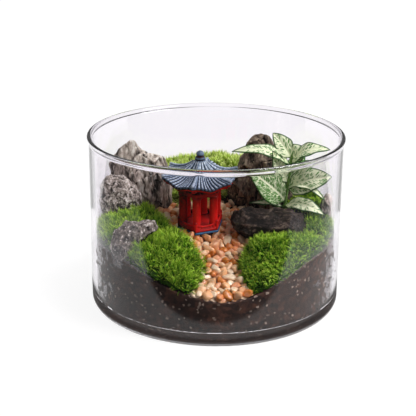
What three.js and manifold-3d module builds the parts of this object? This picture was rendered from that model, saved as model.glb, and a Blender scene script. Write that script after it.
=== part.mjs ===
// Planted glass terrarium bowl. Millimetres, +Z up, origin at the centre of the base's
// underside, the viewer's side towards -Y.

import * as THREE from 'three';
import { mergeVertices } from 'three/addons/utils/BufferGeometryUtils.js';
import Module from 'manifold-3d';

const wasm = await Module();
wasm.setup();

// ---------------------------------------------------------------- driving dimensions

const GAP = 0.3;                 // clearance between neighbouring pieces

const BOWL = {
  radius: 90,                    // over the rim bead
  height: 124,
  bead: 1.2,                     // how far the rim bead stands out from the wall
  beadHeight: 3.8,
  wall: 3.5,
  floor: 9,                      // thickness of the base
  outerCorner: 7,
  innerCorner: 6,
  segments: 48,
};
const WALL_RADIUS = BOWL.radius - BOWL.bead;
const INNER_RADIUS = WALL_RADIUS - BOWL.wall;
const SOIL_RADIUS = INNER_RADIUS - GAP;
const PLANTING_RADIUS = SOIL_RADIUS - 0.5; // moss, gravel and stones stop short of the glass

const PAVILION = {
  x: -11,
  y: -4,
  z: 56,                         // underside of the plinth
  lean: 6.7,                     // degrees towards the viewer, with the slope
  turn: 20.2,                    // azimuth of one corner, degrees
  plinthRadius: 17.2,
  plinthHeight: 1.6,
  padRadius: 15.6,               // hump of soil that the plinth stands on
  padDepth: 10,
  floorRadius: 16.7,
  floorHeight: 1.6,
  railTop: 8.6,
  railWidth: 1.7,
  columnRing: 12.6,
  columnRadius: 3.0,
  lintelBottom: 26,
  lintelRadius: 16,
  eaveRadius: 28.3,
  cornerHeight: 41.5,            // eave at a corner
  eaveSag: 3.3,                  // mid-eave below the corners
  eaveThickness: 1.6,
  boardThickness: 1.3,           // red eave board under the tiles
  roofHollow: 2.6,               // how steeply the tiles fall from the neck
  neckRadius: 3.6,
  neckHeight: 51.6,
  tip: 58.6,
  headroom: 30,                  // above the plinth, kept clear of moss and gravel
};

const TILE = {
  hip: 1.1,                      // how far a hip stands up, at the eaves
  rib: 0.55,
  joint: -0.25,
  neckShare: 0.35,               // of the ribs' height left at the neck
  samples: 8,                    // points along one side
  shares: [1, 0.82, 0.62, 0.42, 0.24, 0.1, 0],
};
const RAIL = {
  topDepth: 1.4,                 // height of the hand rail's section
  footSink: 0.2,
  footTop: 0.8,
  inset: 0.3,                    // from the floor's edge
  post: 1.15,                    // radius of a corner post
  postRise: 0.5,
  baluster: 0.6,                 // radius
  balusterShares: [0.36, 0.64],  // places along a side
};
const LINTEL = { width: 5.6, height: 11 };
const BRACKET = { length: 12, width: 2, depth: 2.4, reach: 19.2, rise: 9.2, droop: 22 };
const EAVE_BOARD = { inset: 1.4, from: 0.4 };

const PEBBLE = {
  spacing: 8.2,
  valley: 1.4,                   // lowest point between pebbles, above the soil
  height: 3.4,
  jitter: 0.34,                  // of the spacing
  shoulder: 0.62,                // of the way from the top to the valleys
  shoulderRise: 0.72,
  edge: 4,                       // how far outside the path a pebble may start
  foot: 20,
};
const MOSS = { tuft: 1.7, spokes: 25, shares: [0.16, 0.34, 0.52, 0.68, 0.83, 0.94, 1], foot: 4 };
const LEAF = { thickness: 0.8, wave: 0.7, fold: 0.25, steps: 6, across: [-1, -0.55, 0, 0.55, 1] };
const CUT = { bottom: 15, top: 110 };        // levels that clear the whole planting

// Ground level at hand-picked spots, [x, y, z]. The wall spots follow the soil line
// that shows through the glass; the soil climbs from the front to the back.
const GROUND_SPOTS = [
  [-85, 0, 53], [-80, -29, 51.6], [-67, -52, 54.5], [-57, -63, 51.6], [-42, -74, 45.9],
  [-29, -80, 40.9], [-16, -83, 36.2], [0, -85, 32.1], [16, -83, 31.6], [26, -81, 35.5],
  [36, -77, 40.4], [46, -71, 45.2], [57, -63, 51.4], [67, -52, 54.1], [78, -35, 56.3],
  [85, 0, 58], [80, 29, 64], [60, 60, 68], [30, 80, 74], [0, 85, 75], [-30, 80, 74],
  [-60, 60, 68], [-80, 29, 60],
  [4, -66, 34.5], [5, -47, 40.5], [3, -30, 46], [-34, -48, 52.5], [-60, -32, 56],
  [40, -48, 52.5], [60, -28, 56], [14, -10, 51], [-12, -4, 52], [-38, -14, 53],
  [-60, 0, 59], [-36, 16, 56], [12, 16, 55], [40, 0, 57], [62, 14, 63], [-50, 34, 61],
  [-10, 36, 60.5],
  [34, 36, 62], [-14, 60, 73], [16, 60, 72],
];
const GROUND_REACH = 10;         // how far one spot is felt
const SOIL_RINGS = [SOIL_RADIUS, 74, 62, 50, 38, 26, 13];

// Plan outlines, [x, y] points in order. Those that reach past the glass are cut there.
const PATH_OUTLINE = [
  [-19, -90], [-12, -74], [-8, -62], [-7.5, -54], [-10.5, -44], [-17, -34], [-25, -29],
  [-30, -22], [-31.5, -12], [-37, -3], [-45, 5], [-48, 20], [-32, 26], [-14, 24], [0, 30],
  [12, 38], [22, 34], [25, 14], [26, -8], [23, -22], [17.5, -36], [16, -48], [16.5, -58],
  [20.5, -70], [28, -90],
];
const MOSS_OUTLINES = {
  moss_front_left: {
    centre: [-32, -54],
    points: [[-19.5, -92], [-12.5, -74], [-8.5, -62], [-8, -54], [-11, -43.5],
      [-17.5, -34.5], [-25.5, -29.5], [-38, -28], [-46, -40], [-52, -54], [-61, -69]],
    thickness: 10,
  },
  moss_left: {
    centre: [-56, -20],
    points: [[-71, -62], [-62, -48], [-46.5, -39], [-38.5, -27.3], [-26, -28.8], [-30.6, -22],
      [-32, -12], [-37.5, -3], [-45.6, 5], [-60, 9], [-92, 8], [-92, -40]],
    thickness: 11,
  },
  moss_front_right: {
    centre: [42, -50],
    points: [[28.5, -92], [21, -70], [17, -58], [16.5, -48], [18, -36], [21.5, -30],
      [48, -30.5], [70, -34], [92, -46], [70, -80]],
    thickness: 8.5,
  },
  moss_right: {
    centre: [70, 4],
    points: [[60, -28.5], [71, -32], [92, -44], [92, 40], [66, 52], [56, 36], [50, 12],
      [56, 0], [66, -10]],
    thickness: 8.5,
  },
  moss_back: {
    centre: [-6, 64],
    points: [[65.5, 53.5], [75, 75], [0, 98], [-75, 75], [-78, 46], [-40, 44], [-30, 27],
      [-14, 25], [0, 31], [11, 39], [20, 45], [44, 46]],
    thickness: 12,
  },
};

// Stones: levels from the bottom up, each [z, left, right, front, back].
const STONES = {
  rock_tall_left: {
    colour: 0x7d6a5f, seed: 11, sides: 15, rough: 0.10, turn: 0.2,
    levels: [[54, -70, -37, 17, 36], [60, -76, -34.5, 14, 38], [68, -79, -33, 13, 39],
      [77, -79.5, -32, 13, 38], [86, -79, -33, 14, 37], [93, -78.5, -35, 15, 35],
      [99, -74.5, -38, 16, 33], [102.5, -70.5, -53, 17, 30], [107.5, -66.5, -56, 18, 27],
      [111, -63.5, -58.5, 20, 25]],
  },
  rock_round_left: {
    colour: 0x8a7f7a, seed: 23, sides: 14, rough: 0.07, turn: 0.5,
    levels: [[58, -77, -59, -7, 5], [63, -81, -54, -10, 8], [69, -84.5, -51.5, -11, 9],
      [76, -85, -53, -11, 9.5], [82, -83, -56.5, -10, 9.5], [87, -81, -61.5, -8, 8.5],
      [89.5, -79, -64, -5, 7]],
  },
  rock_wedge_left: {
    colour: 0x8d8884, seed: 31, sides: 12, rough: 0.06, turn: 0.3,
    levels: [[45, -65, -60, -60, -51], [50, -68, -58, -62, -48], [56, -70, -54.5, -61, -44],
      [61, -69, -49, -58, -41], [66, -67, -42, -55, -39], [70, -64, -37.5, -53, -39],
      [73.5, -61, -39, -50, -41]],
  },
  rock_tall_right: {
    colour: 0x4a3b33, seed: 47, sides: 13, rough: 0.08, turn: 0.1,
    levels: [[52, 16, 36, 26, 40], [58, 12, 40, 23, 43], [66, 10.5, 43, 22, 44],
      [76, 11.5, 45, 22, 44], [86, 14.5, 46, 23, 43], [95, 18, 46, 24, 42],
      [102, 21.5, 44.5, 26, 41], [109, 25.5, 41.5, 27, 39], [113, 27.5, 39.5, 29, 37]],
  },
  rock_second_right: {
    colour: 0x5b524d, seed: 59, sides: 12, rough: 0.08, turn: 0.4,
    levels: [[56, 36, 58, 14, 26], [62, 31, 62, 13, 30], [72, 29, 62, 13, 31],
      [82, 31, 59, 14, 30], [91, 33, 54, 16, 28], [97, 35, 48, 18, 25]],
  },
  rock_small_right: {
    colour: 0x7a6a60, seed: 71, sides: 9, rough: 0.06, turn: 0.1,
    levels: [[58, 77, 82, -6, 2], [64, 76, 84, -9, 5], [70, 75.5, 85, -9, 5],
      [76, 77, 84.5, -8, 3], [79.5, 79, 83.5, -5, 1]],
  },
  rock_flat_right: {
    colour: 0x3f3330, seed: 67, sides: 16, rough: 0.05, turn: 0.2,
    levels: [[51, 22, 52, -22, -8], [54, 18, 58, -26, -5], [57, 14, 61, -29, -3],
      [61, 11, 63, -30, -2], [65, 10.5, 62, -28, -2], [68, 13, 60, -25, -3],
      [70, 17, 56, -20, -5]],
  },
};

// ---------------------------------------------------------------- small helpers

const DEGREE = Math.PI / 180;
const HEX = 6;

function mix(a, b, t) {
  return a + (b - a) * t;
}

function seededRandom(seed) {
  let state = seed >>> 0;
  return () => {
    state = (state + 0x6d2b79f5) >>> 0;
    let t = Math.imul(state ^ (state >>> 15), 1 | state);
    t = (t + Math.imul(t ^ (t >>> 7), 61 | t)) ^ t;
    return ((t ^ (t >>> 14)) >>> 0) / 4294967296;
  };
}

// Closed mesh from a list of points and a list of triangles.
function meshOf(points, triangles) {
  const geometry = new THREE.BufferGeometry();
  geometry.setAttribute('position', new THREE.Float32BufferAttribute(points.flat(), 3));
  geometry.setIndex(triangles.flat());
  return geometry;
}

function solid(geometry) {
  const bare = geometry.clone();
  bare.deleteAttribute('normal');
  bare.deleteAttribute('uv');
  const welded = mergeVertices(bare, 1e-4);
  return new wasm.Manifold(new wasm.Mesh({
    numProp: 3,
    vertProperties: new Float32Array(welded.attributes.position.array),
    triVerts: new Uint32Array(welded.index.array),
  }));
}

function shape(body) {
  const mesh = body.getMesh();
  const geometry = new THREE.BufferGeometry();
  geometry.setAttribute('position', new THREE.BufferAttribute(mesh.vertProperties, 3));
  geometry.setIndex(new THREE.BufferAttribute(mesh.triVerts, 1));
  return geometry;
}

// A cut can leave a loose scrap, which is dropped.
function largest(body) {
  return body.decompose().reduce((best, next) => (next.volume() > best.volume() ? next : best));
}

function joined(bodies) {
  return bodies.reduce((whole, next) => whole.add(next));
}

function without(body, cutters) {
  return cutters.reduce((left, cutter) => left.subtract(cutter), body);
}

function node(name, geometry, colour, roughness) {
  const material = new THREE.MeshStandardMaterial({
    color: colour, roughness, metalness: 0, flatShading: true });
  const mesh = new THREE.Mesh(geometry, material);
  mesh.name = name;
  return mesh;
}

// Points round the Z axis, each at the height that level gives for its place.
function circle(radius, level, sides) {
  return Array.from({ length: sides }, (_, i) => {
    const angle = (i / sides) * 2 * Math.PI;
    const x = radius * Math.cos(angle);
    const y = radius * Math.sin(angle);
    return [x, y, level(x, y)];
  });
}

// Closed skin through a stack of rings with the same number of points, capped by the
// mean point of the first and last ring.
function skin(rings) {
  const count = rings[0].length;
  const points = rings.flat();
  const triangles = [];
  for (let ring = 0; ring + 1 < rings.length; ring += 1) {
    for (let i = 0; i < count; i += 1) {
      const a = ring * count + i;
      const b = ring * count + ((i + 1) % count);
      triangles.push([a, b, b + count], [a, b + count, a + count]);
    }
  }
  const cap = (ring, flip) => {
    const middle = [0, 1, 2].map((k) => rings[ring].reduce((sum, p) => sum + p[k], 0) / count);
    const hub = points.push(middle) - 1;
    for (let i = 0; i < count; i += 1) {
      const a = ring * count + i;
      const b = ring * count + ((i + 1) % count);
      triangles.push(flip ? [hub, b, a] : [hub, a, b]);
    }
  };
  cap(0, true);
  cap(rings.length - 1, false);
  return meshOf(points, triangles);
}

// ---------------------------------------------------------------- ground

// Height of the soil: a weighted mean of the spots.
function ground(x, y) {
  let weights = 0;
  let total = 0;
  for (const [sx, sy, sz] of GROUND_SPOTS) {
    const far = ((x - sx) ** 2 + (y - sy) ** 2) / (2 * GROUND_REACH ** 2);
    const weight = Math.exp(-far) + 1e-6 / (1 + far);
    weights += weight;
    total += weight * sz;
  }
  return total / weights;
}

// ---------------------------------------------------------------- glass bowl

function arc(cx, cy, radius, from, to, steps) {
  const points = [];
  for (let i = 0; i <= steps; i += 1) {
    const angle = mix(from, to, i / steps) * DEGREE;
    points.push([cx + radius * Math.cos(angle), cy + radius * Math.sin(angle)]);
  }
  return points;
}

function bowl() {
  const { radius, height, beadHeight, floor, outerCorner, innerCorner, segments } = BOWL;
  const lip = (radius - INNER_RADIUS) / 2;
  const profile = [
    [0, 0],
    ...arc(WALL_RADIUS - outerCorner, outerCorner, outerCorner, -90, 0, 3),
    [WALL_RADIUS, height - beadHeight - 1],
    [radius, height - beadHeight],
    ...arc(radius - lip, height - lip, lip, 0, 180, 5),
    ...arc(INNER_RADIUS - innerCorner, floor + innerCorner, innerCorner, 0, -90, 3),
    [0, floor],
  ].map(([r, z]) => new THREE.Vector2(r, z));
  return new THREE.LatheGeometry(profile, segments).rotateX(Math.PI / 2);
}

// ---------------------------------------------------------------- soil

// The bank of soil; lift raises its top, for cutting what stands on it.
function soilBlock(lift) {
  const sides = BOWL.segments;
  const corner = BOWL.innerCorner;
  const bottom = BOWL.floor + GAP;
  const wallFoot = arc(SOIL_RADIUS - corner, bottom + corner, corner, -90, 0, 3);
  const rings = wallFoot.map(([r, z]) => circle(r, () => z, sides));
  for (const r of SOIL_RINGS) {
    rings.push(circle(r, (x, y) => ground(x, y) + lift, sides));
  }
  return solid(skin(rings));
}

// ---------------------------------------------------------------- stones

const SQUARENESS = 2.6;          // of a stone's plan: 2 is an ellipse, more has corners

// Lumpiness of a stone: a few slanting waves whose phases come from its seed.
function lumps(seed) {
  const random = seededRandom(seed);
  const waves = Array.from({ length: 7 }, () => ({
    around: 1 + Math.floor(random() * 5),
    along: (random() - 0.5) * 0.5,
    phase: random() * 2 * Math.PI,
    size: 0.3 + 0.7 * random(),
  }));
  return (angle, z) => waves.reduce(
    (sum, w) => sum + w.size * Math.sin(w.around * angle + w.along * z + w.phase), 0) / 3;
}

// A stone's solid; grow widens it all round, for cutting what lies against it.
function stone({ levels, seed, sides, rough, turn }, grow = 0) {
  const lump = lumps(seed);
  const random = seededRandom(seed + 1);
  const rings = levels.map(([z, left, right, front, back], index) => {
    const halfX = (right - left) / 2;
    const halfY = (back - front) / 2;
    const last = index === levels.length - 1;
    const lift = index === 0 ? -grow : last ? grow : 0;
    return Array.from({ length: sides }, (_, i) => {
      const angle = ((i + turn + 0.3 * index) / sides) * 2 * Math.PI;
      const c = Math.cos(angle);
      const s = Math.sin(angle);
      const square = 1 / (Math.abs(c) ** SQUARENESS + Math.abs(s) ** SQUARENESS) ** (1 / SQUARENESS);
      const chip = 1 + rough * (0.6 * lump(angle, z) + 0.8 * (random() - 0.6));
      const x = (left + right) / 2 + c * square * (halfX * chip + grow);
      const y = (front + back) / 2 + s * square * (halfY * chip + grow);
      const inside = Math.min(1, (PLANTING_RADIUS + grow) / Math.hypot(x, y));
      return [x * inside, y * inside, z + lift + (last ? 0 : rough * 12 * (random() - 0.5))];
    });
  });
  return solid(skin(rings));
}

// ---------------------------------------------------------------- plan outlines

// A block that cuts the planting along an outline, from top to bottom.
function prism(outline) {
  const plan = new THREE.Shape(outline.map(([x, y]) => new THREE.Vector2(x, y)));
  const depth = CUT.top - CUT.bottom;
  const block = new THREE.ExtrudeGeometry(plan, { depth, bevelEnabled: false });
  return solid(block.translate(0, 0, CUT.bottom));
}

// The same outline moved outwards.
function widened(outline, margin) {
  const corners = outline.map(([x, y]) => new THREE.Vector2(x, y));
  const outward = Math.sign(THREE.ShapeUtils.area(corners));
  return corners.map((corner, i) => {
    const before = corners[(i + corners.length - 1) % corners.length];
    const after = corners[(i + 1) % corners.length];
    const sides = [corner.clone().sub(before).normalize(), after.clone().sub(corner).normalize()];
    const nx = sides[0].y + sides[1].y;
    const ny = -sides[0].x - sides[1].x;
    const scale = (2 * margin * outward) / (nx * nx + ny * ny);
    return [corner.x + nx * scale, corner.y + ny * scale];
  });
}

function insideOutline(x, y, outline) {
  let inside = false;
  for (let i = 0, j = outline.length - 1; i < outline.length; j = i, i += 1) {
    const [xi, yi] = outline[i];
    const [xj, yj] = outline[j];
    if ((yi > y) !== (yj > y) && x < ((xj - xi) * (y - yi)) / (yj - yi) + xi) inside = !inside;
  }
  return inside;
}

// How far the outline lies from a centre in one direction, no further than the glass.
function reach(centre, angle, outline) {
  const [cx, cy] = centre;
  const dx = Math.cos(angle);
  const dy = Math.sin(angle);
  let nearest = Infinity;
  outline.forEach(([ax, ay], i) => {
    const [bx, by] = outline[(i + 1) % outline.length];
    const cross = dx * (by - ay) - dy * (bx - ax);
    if (Math.abs(cross) < 1e-9) return;
    const far = ((ax - cx) * (by - ay) - (ay - cy) * (bx - ax)) / cross;
    const along = ((ax - cx) * dy - (ay - cy) * dx) / cross;
    if (far > 0 && along >= 0 && along <= 1) nearest = Math.min(nearest, far);
  });
  const dot = cx * dx + cy * dy;
  const glass = -dot + Math.sqrt(dot * dot - cx * cx - cy * cy + PLANTING_RADIUS ** 2);
  return Math.min(nearest, glass);
}

// ---------------------------------------------------------------- moss

// A cushion: rings drawn out from its centre to its outline, domed, with each point
// raised into a tuft of its own height.
function mossCushion({ centre, points, thickness }, seed) {
  const random = seededRandom(seed);
  const ring = (share, level) => Array.from({ length: MOSS.spokes }, (_, i) => {
    const angle = ((i + 0.5 * (level % 2)) / MOSS.spokes) * 2 * Math.PI;
    const far = reach(centre, angle, points) * share;
    const x = centre[0] + far * Math.cos(angle);
    const y = centre[1] + far * Math.sin(angle);
    const dome = Math.sqrt(1 - Math.min(share, 0.985) ** 5);
    const tuft = share < 0.99 ? MOSS.tuft * (random() * 1.6 - 0.6) : 0;
    return [x, y, ground(x, y) + thickness * dome + tuft];
  });
  const foot = ring(1, 1).map(([x, y]) => [x, y, ground(x, y) - MOSS.foot]);
  const rings = [foot, ...MOSS.shares.map((share, level) => ring(share, level)).reverse()];
  return solid(skin(rings));
}

// ---------------------------------------------------------------- gravel

// The six neighbours of a cell in a honeycomb, in order round it.
const NEIGHBOURS = [[1, 0], [0, 1], [-1, 1], [-1, 0], [0, -1], [1, -1]];

// One sheet of pebbles: a honeycomb whose cells each rise to a rounded stone, with the
// valleys between them just above the soil.
function pebbleSheet() {
  const { spacing, valley, height, jitter, shoulder, shoulderRise, edge, foot } = PEBBLE;
  const centreOf = (q, r) => {
    const random = seededRandom(9000 + 131 * q + 17 * r);
    return [
      (q + r / 2 + (random() - 0.5) * jitter) * spacing,
      (r * Math.sqrt(0.75) + (random() - 0.5) * jitter) * spacing,
      0.75 + 0.5 * random(),
    ];
  };
  const cells = new Map();
  const far = Math.ceil(2 * BOWL.radius / spacing);
  for (let r = -far; r < far; r += 1) {
    for (let q = -far; q < far; q += 1) {
      const [x, y] = centreOf(q, r);
      const near = [[0, 0], [edge, 0], [-edge, 0], [0, edge], [0, -edge]]
        .some(([dx, dy]) => insideOutline(x + dx, y + dy, PATH_OUTLINE));
      if (near) cells.set(`${q},${r}`, [q, r]);
    }
  }
  const points = [];
  const triangles = [];
  const known = new Map();
  const vertex = (key, make) => {
    if (!known.has(key)) known.set(key, points.push(make()) - 1);
    return known.get(key);
  };
  const corner = (q, r, k, level) => {
    const beside = [k, (k + 1) % HEX].map((n) => [q + NEIGHBOURS[n][0], r + NEIGHBOURS[n][1]]);
    const ids = [[q, r], ...beside];
    const key = `${ids.map((id) => id.join()).sort().join('/')}:${level}`;
    return vertex(key, () => {
      const around = ids.map(([a, b]) => centreOf(a, b));
      const x = (around[0][0] + around[1][0] + around[2][0]) / 3;
      const y = (around[0][1] + around[1][1] + around[2][1]) / 3;
      return [x, y, level === 'low' ? foot : ground(x, y) + valley];
    });
  };
  for (const [q, r] of cells.values()) {
    const [x, y, size] = centreOf(q, r);
    const peak = ground(x, y) + valley + height * size;
    const hub = vertex(`${q},${r}:hub`, () => [x, y, peak]);
    const under = vertex(`${q},${r}:under`, () => [x, y, foot]);
    for (let k = 0; k < HEX; k += 1) {
      const next = (k + 1) % HEX;
      const bulge = (n) => vertex(`${q},${r}:${n}`, () => {
        const [cx, cy, cz] = points[corner(q, r, n, 'high')];
        return [mix(x, cx, shoulder), mix(y, cy, shoulder), mix(cz, peak, shoulderRise)];
      });
      const a = corner(q, r, k, 'high');
      const b = corner(q, r, next, 'high');
      const c = bulge(k);
      const d = bulge(next);
      const e = corner(q, r, k, 'low');
      const f = corner(q, r, next, 'low');
      triangles.push([hub, c, d], [c, a, b], [c, b, d], [under, f, e]);
      const [dq, dr] = NEIGHBOURS[next];
      if (!cells.has(`${q + dq},${r + dr}`)) triangles.push([a, e, f], [a, f, b]);
    }
  }
  return solid(meshOf(points, triangles));
}

function gravel(soilCutter) {
  const clear = solid(skin([circle(PLANTING_RADIUS, () => 0, BOWL.segments),
    circle(PLANTING_RADIUS, () => BOWL.height, BOWL.segments)]));
  const within = prism(PATH_OUTLINE).intersect(clear);
  return pebbleSheet().intersect(within).subtract(soilCutter);
}

// ---------------------------------------------------------------- pavilion

function hexPlate(radius, bottom, top) {
  return skin([circle(radius, () => bottom, HEX), circle(radius, () => top, HEX)]);
}

function hexTube(outer, inner, bottom, top) {
  return solid(hexPlate(outer, bottom, top)).subtract(solid(hexPlate(inner, bottom - 1, top + 1)));
}

function post(radius, bottom, top, x, y, sides = 8) {
  const bar = new THREE.CylinderGeometry(radius, radius, top - bottom, sides);
  bar.rotateX(Math.PI / 2).translate(x, y, (top + bottom) / 2);
  return solid(bar);
}

// Distance from the axis to a hexagon's edge in one direction, for a corner radius.
function hexEdge(angle, radius) {
  const side = 60 * DEGREE;
  const within = ((angle % side) + side) % side;
  return (radius * Math.cos(side / 2)) / Math.cos(within - side / 2);
}

// Height of the eave's edge: lowest half-way along a side, swept up at the corners.
function eaveHeight(angle) {
  const corner = Math.abs(Math.cos(3 * angle)) ** 1.5;
  return PAVILION.cornerHeight - PAVILION.eaveSag * (1 - corner);
}

// The tiles' surface, share 0 at the neck and 1 at the eaves.
function roofHeight(share, angle) {
  const fall = (1 - share) ** PAVILION.roofHollow;
  return mix(eaveHeight(angle), PAVILION.neckHeight, fall) - 0.5 * Math.sin(Math.PI * share);
}

function roofRing(share, drop, inset, ribs) {
  const count = HEX * TILE.samples;
  return Array.from({ length: count }, (_, i) => {
    const angle = (i / count) * 2 * Math.PI;
    const outer = hexEdge(angle, PAVILION.eaveRadius - inset);
    const r = mix(PAVILION.neckRadius, outer, share);
    const rib = i % 2 === 0 ? TILE.rib : TILE.joint;
    const crest = i % TILE.samples === 0 ? TILE.hip : rib;
    const raised = ribs ? crest * mix(TILE.neckShare, 1, share) : 0;
    return [r * Math.cos(angle), r * Math.sin(angle), roofHeight(share, angle) - drop + raised];
  });
}

function roof() {
  const under = [0.1, 0.4, 1].map((share) => roofRing(share, PAVILION.eaveThickness, 0.2, false));
  const over = TILE.shares.map((share) => roofRing(share, 0, 0, true));
  return skin([...under, ...over]);
}

// The red eave board follows the roof's underside, and its tips show at the corners.
function eaveBoard() {
  const { inset, from } = EAVE_BOARD;
  const top = PAVILION.eaveThickness + GAP;
  const bottom = top + PAVILION.boardThickness;
  const lower = [from, 1].map((share) => roofRing(share, bottom, inset, false));
  const upper = [1, from].map((share) => roofRing(share, top, inset, false));
  return solid(skin([...lower, ...upper]));
}

function railing() {
  const { floorRadius, railTop, railWidth, plinthHeight, floorHeight } = PAVILION;
  const floorTop = plinthHeight + GAP + floorHeight;
  const foot = floorTop - RAIL.footSink;
  const outer = floorRadius - RAIL.inset;
  const inner = outer - railWidth;
  const bars = [
    hexTube(outer, inner, railTop - RAIL.topDepth, railTop),
    hexTube(outer, inner, foot, floorTop + RAIL.footTop),
  ];
  const corners = circle(outer - railWidth / 2, () => 0, HEX);
  corners.forEach(([x, y], side) => {
    const [nextX, nextY] = corners[(side + 1) % HEX];
    bars.push(post(RAIL.post, foot, railTop + RAIL.postRise, x, y, 6));
    for (const share of RAIL.balusterShares) {
      const along = [mix(x, nextX, share), mix(y, nextY, share)];
      bars.push(post(RAIL.baluster, foot, railTop - RAIL.topDepth / 2, ...along, 5));
    }
  });
  return bars;
}

function pavilionBody() {
  const { plinthHeight, floorRadius, floorHeight, columnRing, columnRadius } = PAVILION;
  const { lintelBottom, lintelRadius } = PAVILION;
  const floorBottom = plinthHeight + GAP;
  const pieces = [
    solid(hexPlate(floorRadius, floorBottom, floorBottom + floorHeight)),
    ...railing(),
    hexTube(lintelRadius, lintelRadius - LINTEL.width, lintelBottom, lintelBottom + LINTEL.height),
    eaveBoard(),
  ];
  for (let i = 0; i < HEX; i += 1) {
    const angle = i * 60 * DEGREE;
    const x = columnRing * Math.cos(angle);
    const y = columnRing * Math.sin(angle);
    pieces.push(post(columnRadius, floorBottom + 1, lintelBottom + 1, x, y));
    const bracket = new THREE.BoxGeometry(BRACKET.length, BRACKET.width, BRACKET.depth);
    bracket.rotateY(-BRACKET.droop * DEGREE);
    bracket.translate(BRACKET.reach, 0, lintelBottom + BRACKET.rise).rotateZ(angle);
    pieces.push(solid(bracket));
  }
  return joined(pieces);
}

function finial() {
  const { neckRadius, neckHeight, tip } = PAVILION;
  const seat = neckHeight + GAP;
  const profile = [
    [0, seat], [neckRadius - 0.2, seat], [neckRadius - 0.1, seat + 1.1],
    [neckRadius - 0.5, seat + 2.1], [2.1, seat + 2.5], [2.1, seat + 2.9],
    [2.75, seat + 3.5], [2.6, seat + 4.7], [1.5, seat + 5.9], [0.6, seat + 6.4], [0, tip],
  ].map(([r, z]) => new THREE.Vector2(r, z));
  return new THREE.LatheGeometry(profile, 12).rotateX(Math.PI / 2);
}

// Puts a shape drawn on the pavilion's own axis where the pavilion stands.
function pavilionPlace() {
  const { x, y, z, lean, turn } = PAVILION;
  const stand = new THREE.Matrix4().makeTranslation(x, y, z);
  stand.multiply(new THREE.Matrix4().makeRotationX(lean * DEGREE));
  return stand.multiply(new THREE.Matrix4().makeRotationZ(turn * DEGREE));
}

// ---------------------------------------------------------------- nerve plant

// A leaf is drawn on its midrib, an arc from base to tip, with a shallow fold along it and
// waved edges. across and t run from edge to edge and from base to tip.
function leaf({ from, tip, width, arch, face, seed }) {
  const root = new THREE.Vector3(...onStem(from));
  const to = new THREE.Vector3(...tip);
  const along = to.clone().sub(root);
  const length = along.length();
  along.normalize();
  const side = new THREE.Vector3(...face).cross(along).normalize();
  const out = along.clone().cross(side).normalize();
  const random = seededRandom(seed);
  const phase = random() * 6;
  const { steps, across } = LEAF;
  const outline = (t) => Math.sin(Math.PI * t ** 0.82) ** 0.75;
  const surface = (t, s) => {
    const half = (width / 2) * Math.max(outline(t), 0.001);
    const bow = arch * length * Math.sin(Math.PI * t);
    const wave = LEAF.wave * Math.abs(s) * Math.sin(t * 16 + phase + 1.3 * Math.sign(s));
    const fold = LEAF.fold * half * (Math.abs(s) - 0.5 * s * s);
    return root.clone()
      .addScaledVector(along, length * t)
      .addScaledVector(side, half * s)
      .addScaledVector(out, bow + wave * outline(t) + fold);
  };
  const rings = [];
  const halfThick = LEAF.thickness / 2;
  for (let i = 0; i <= steps; i += 1) {
    const t = mix(0.015, 0.985, i / steps);
    const top = across.map((s) => surface(t, s).addScaledVector(out, halfThick));
    const under = across.map((s) => surface(t, s).addScaledVector(out, -halfThick)).reverse();
    rings.push([...top, ...under].reverse().map((p) => p.toArray()));
  }
  return solid(skin(rings));
}

function stalk(points, radius, sides = 6) {
  const line = new THREE.CatmullRomCurve3(points.map((p) => new THREE.Vector3(...p)));
  const round = circle(radius, () => 0, sides).map(([x, y]) => new THREE.Vector2(x, y));
  return solid(new THREE.ExtrudeGeometry(new THREE.Shape(round), {
    steps: 3 * points.length, bevelEnabled: false, extrudePath: line }));
}

const STEM = [[49, 8, 50], [50, 8, 66], [52, 8, 81], [53, 8, 94], [54, 9, 106]];
const STEM_RADIUS = 1.3;

// Point on the stem's axis at a height.
function onStem(z) {
  const above = STEM.findIndex((point) => point[2] > z);
  const [low, high] = [STEM[above - 1], STEM[above]];
  const t = (z - low[2]) / (high[2] - low[2]);
  return low.map((value, k) => mix(value, high[k], t));
}

// Each leaf leaves the stem at height `from`.
const LEAVES = [
  { from: 98, tip: [11, -2, 111], width: 11, arch: 0.2, face: [0.1, -0.55, 0.85] },
  { from: 103.5, tip: [40, 8, 122], width: 16, arch: 0.05, face: [0.45, -1, 0.25] },
  { from: 104, tip: [64, 12, 111.5], width: 14, arch: 0.16, face: [-0.1, -0.9, 0.6] },
  { from: 99, tip: [80, 0, 112.5], width: 13, arch: 0.24, face: [-0.15, -0.5, 0.85] },
  { from: 84, tip: [39.5, -5, 112.5], width: 12, arch: -0.04, face: [0.5, -0.8, 0.2] },
  { from: 71, tip: [23, -12, 100], width: 22, arch: 0.05, face: [0.25, -0.85, 0.4] },
  { from: 80, tip: [82.3, -7, 94], width: 20, arch: 0.12, face: [-0.2, -0.75, 0.6] },
  { from: 79, tip: [77, -13, 79], width: 8, arch: 0.22, face: [0, -0.3, 1] },
  { from: 67, tip: [77, -13, 68], width: 13, arch: 0.16, face: [0, -0.5, 0.8] },
  { from: 66, tip: [24, 3, 70.5], width: 5, arch: 0.08, face: [0, -0.5, 0.8] },
  { from: 86, tip: [70, 17, 99], width: 14, arch: 0.1, face: [-0.4, -0.7, 0.6] },
  { from: 92, tip: [64, 24, 101], width: 12, arch: 0.15, face: [0.3, 0.3, 0.9] },
];

function nervePlant() {
  const blades = LEAVES.map((spec, i) => leaf({ ...spec, seed: 70 + i }));
  return joined([stalk(STEM, STEM_RADIUS), ...blades]);
}

// ---------------------------------------------------------------- assembly

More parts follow.
